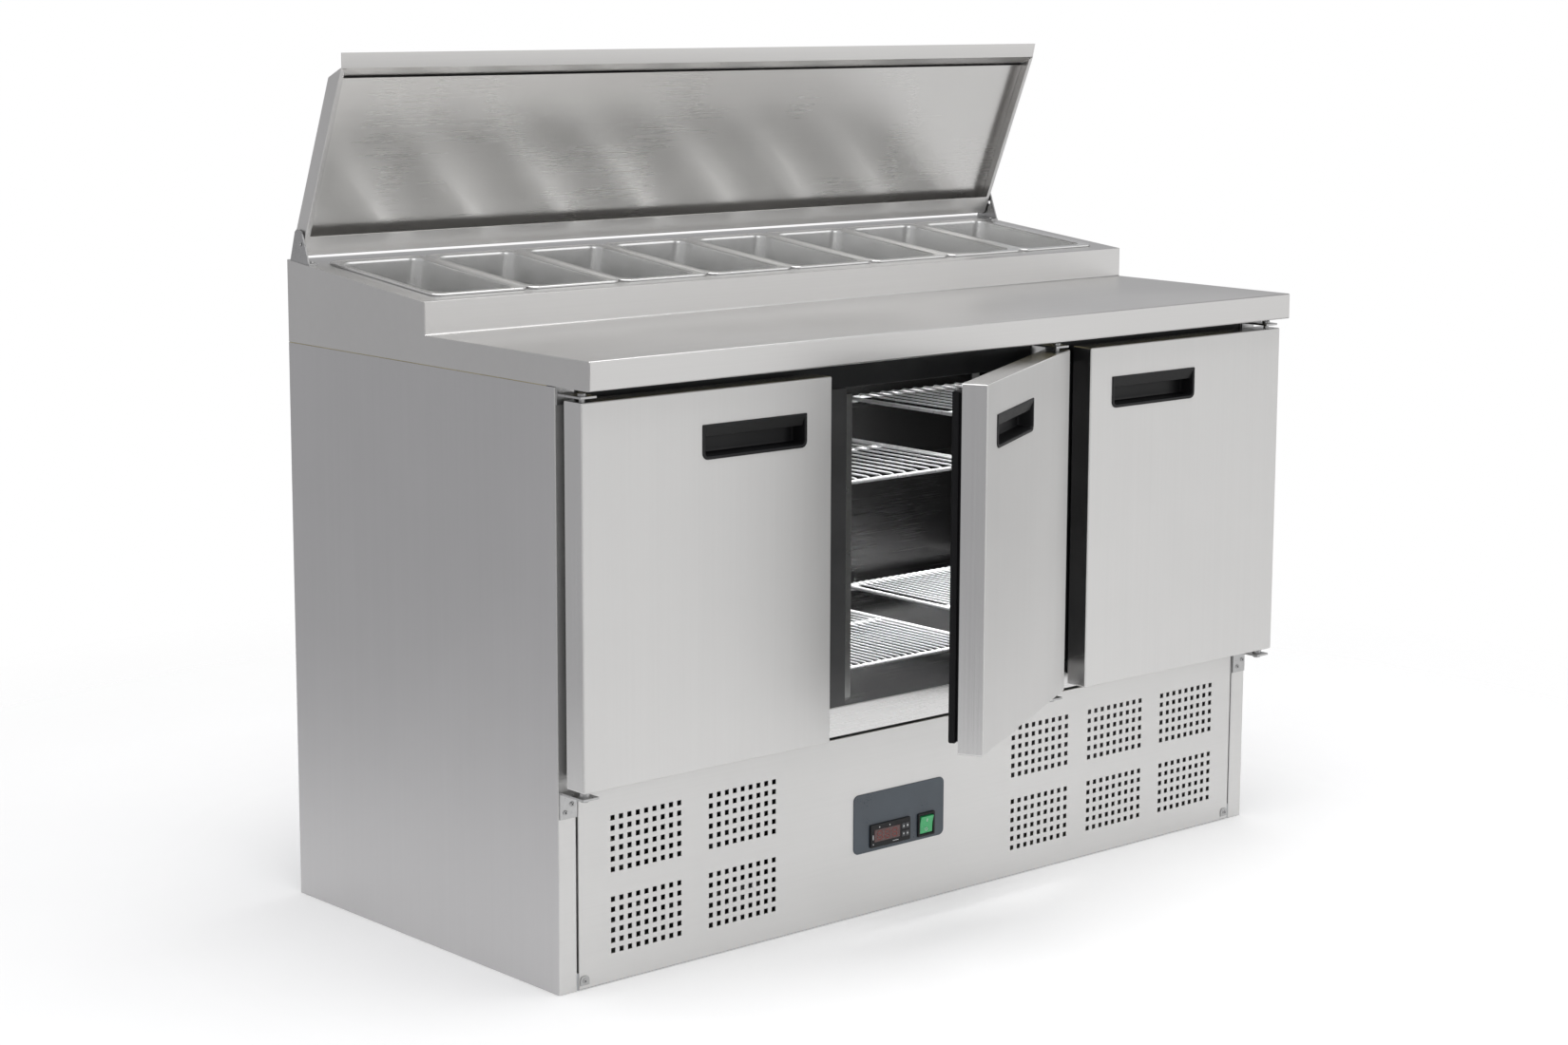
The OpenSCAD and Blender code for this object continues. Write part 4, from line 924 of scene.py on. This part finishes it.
run = [(0.4, 0.11, 0.191), (0.4, 0.11, 0.262), (-0.180, 0.11, 0.262), (-0.180, -0.058, 0.262)]
parts = [tube(bend(run, 0.014), 0.004, 14)]
parts.append(tube([(-0.180, 0.04, 0.200), (-0.180, 0.04, 0.260)], 0.004, 14))
prof = [
    (0, 0.0905), (0.0045, 0.0905), (0.0045, 0.096), (0.0108, 0.106), (0.011, 0.110),
    (0.011, 0.190), (0.0108, 0.194), (0.0045, 0.2), (0, 0.2005),
]
parts.append(lathe(prof, (-0.180, 0.04, 0), "Z", 24))
put("tubes", join(parts), "copper", "pipework", 35)
prof = [
    (0, -0.008), (0.0042, -0.008), (0.0045, -0.0075), (0.0045, 0.0), (0.0086, 0.0), (0.0088, -0.0012),
    (0.0125, -0.0014), (0.013, -0.002), (0.013, -0.0050), (0.0122, -0.0058), (0.0096, -0.0062),
    (0.0090, -0.0150), (0.0078, -0.0195), (0, -0.0198),
]
bm = lathe(prof, (0.560, Y_BACK, 0.060), "Y", 36)
put("gland_moulding", bm, "rubber", "cord_gland", 35)

# ---------------------------------------------------------------- camera, light and floor
CAM_AT = (-3.0693, -3.4735, 1.3412)
cam = bpy.data.cameras.new("camera")
cam.sensor_width = 36.0
cam.lens = 71.8713
cam.shift_x = -0.0738424
cam.shift_y = -0.0263394
cam.clip_end = 60
yaw, pitch, roll = rad(43.1177), rad(9.2903), rad(0.5398)
f = Vector((math.sin(yaw) * math.cos(pitch), math.cos(yaw) * math.cos(pitch), -math.sin(pitch)))
r0 = Vector((math.cos(yaw), -math.sin(yaw), 0))
u0 = r0.cross(f)
r1 = r0 * math.cos(roll) + u0 * math.sin(roll)
u1 = u0 * math.cos(roll) - r0 * math.sin(roll)
co = bpy.data.objects.new("camera", cam)
co.matrix_world = Matrix((
    (r1.x, u1.x, -f.x, CAM_AT[0]), (r1.y, u1.y, -f.y, CAM_AT[1]), (r1.z, u1.z, -f.z, CAM_AT[2]), (0, 0, 0, 1),
))
bpy.context.scene.collection.objects.link(co)
bpy.context.scene.camera = co


def area(name, at, to, size, power, colour=(1, 1, 1)):
    d = bpy.data.lights.new(name, "AREA")
    d.shape, d.size, d.size_y, d.energy, d.color = "RECTANGLE", size[0], size[1], power, colour
    o = bpy.data.objects.new(name, d)
    o.location = at
    o.rotation_euler = (Vector(to) - Vector(at)).to_track_quat("-Z", "Y").to_euler()
    bpy.context.scene.collection.objects.link(o)
    return o


area("key", (2.5, -4.7, 1.9), (-0.3, -0.2, 0.6), (3.4, 2.7), 9)
area("top", (0.0, -0.4, 3.4), (0.0, 0.0, 0.8), (3.2, 2.4), 74)
area("front", (-2.2, -4.0, 1.7), (-0.3, 0.0, 0.5), (2.4, 1.8), 15)
for name, x, y, z, aim, wide, power in (
    ("store_high", -0.10, -0.235, 0.742, (-0.10, -0.035, 0.504), 0.80, 1.2),
    ("store_low", -0.10, -0.225, 0.560, (-0.10, -0.110, 0.396), 0.80, 2.2),
    ("store_high_right", 0.47, -0.215, 0.755, (0.44, -0.015, 0.555), 0.32, 4.0),
    ("store_low_right", 0.47, -0.200, 0.610, (0.44, -0.030, 0.407), 0.32, 4.5),
):
    lamp = area(name, (x, y, z), aim, (wide, 0.03), power)
    lamp.visible_camera = False
    lamp.data.spread = rad(110)

w = bpy.data.worlds.new("world")
bpy.context.scene.world = w
w.use_nodes = True
t = w.node_tree
t.nodes.clear()
out = t.nodes.new("ShaderNodeOutputWorld")
seen, lit = t.nodes.new("ShaderNodeBackground"), t.nodes.new("ShaderNodeBackground")
seen.inputs["Color"].default_value = (1, 1, 1, 1)
tc = t.nodes.new("ShaderNodeTexCoord")
dp = t.nodes.new("ShaderNodeVectorMath")
dp.operation = "DOT_PRODUCT"
dp.inputs[1].default_value = (-0.72, 0.69, 0.0)
t.links.new(tc.outputs["Generated"], dp.inputs[0])
ramp = t.nodes.new("ShaderNodeValToRGB")
mr = t.nodes.new("ShaderNodeMapRange")
mr.inputs["From Min"].default_value, mr.inputs["From Max"].default_value = -1.0, 1.0
t.links.new(dp.outputs["Value"], mr.inputs["Value"])
e = ramp.color_ramp.elements
e[0].position, e[1].position = 0.02, 0.17
e[0].color, e[1].color = (1.0, 1.0, 1.0, 1), (0.27, 0.27, 0.275, 1)
far = ramp.color_ramp.elements.new(0.5)
far.color = (0.50, 0.50, 0.51, 1)
t.links.new(mr.outputs[0], ramp.inputs["Fac"])
t.links.new(ramp.outputs["Color"], lit.inputs["Color"])
lp = t.nodes.new("ShaderNodeLightPath")
mx = t.nodes.new("ShaderNodeMixShader")
t.links.new(lp.outputs["Is Camera Ray"], mx.inputs[0])
t.links.new(lit.outputs[0], mx.inputs[1])
t.links.new(seen.outputs[0], mx.inputs[2])
t.links.new(mx.outputs[0], out.inputs["Surface"])

bm = bmesh.new()
bmesh.ops.create_circle(bm, cap_ends=True, radius=3.4, segments=96)
me = bpy.data.meshes.new("floor")
bmesh.ops.translate(bm, verts=bm.verts, vec=(0.2, -0.2, -0.0006))
bm.to_mesh(me)
bm.free()
floor = bpy.data.objects.new("floor", me)
bpy.context.scene.collection.objects.link(floor)
m, t, b = tree("floor_pale")
pale = tint(t, field(t, (3, 3, 3), detail=2.0), (0.93, 0.93, 0.93), (0.95, 0.95, 0.95))
t.links.new(pale, b.inputs["Base Color"])
b.inputs["Roughness"].default_value = 0.85
b.inputs["Specular IOR Level"].default_value = 0.1
co = t.nodes.new("ShaderNodeTexCoord")
ln = t.nodes.new("ShaderNodeVectorMath")
ln.operation = "LENGTH"
t.links.new(co.outputs["Object"], ln.inputs[0])
t.links.new(span(t, ln.outputs["Value"], 1.0, 0.0, 0.8, 2.1), b.inputs["Alpha"])
b.inputs["Emission Color"].default_value = (1, 1, 1, 1)
b.inputs["Emission Strength"].default_value = 0.2
me.materials.append(m)
bpy.context.scene.view_settings.view_transform = "Standard"
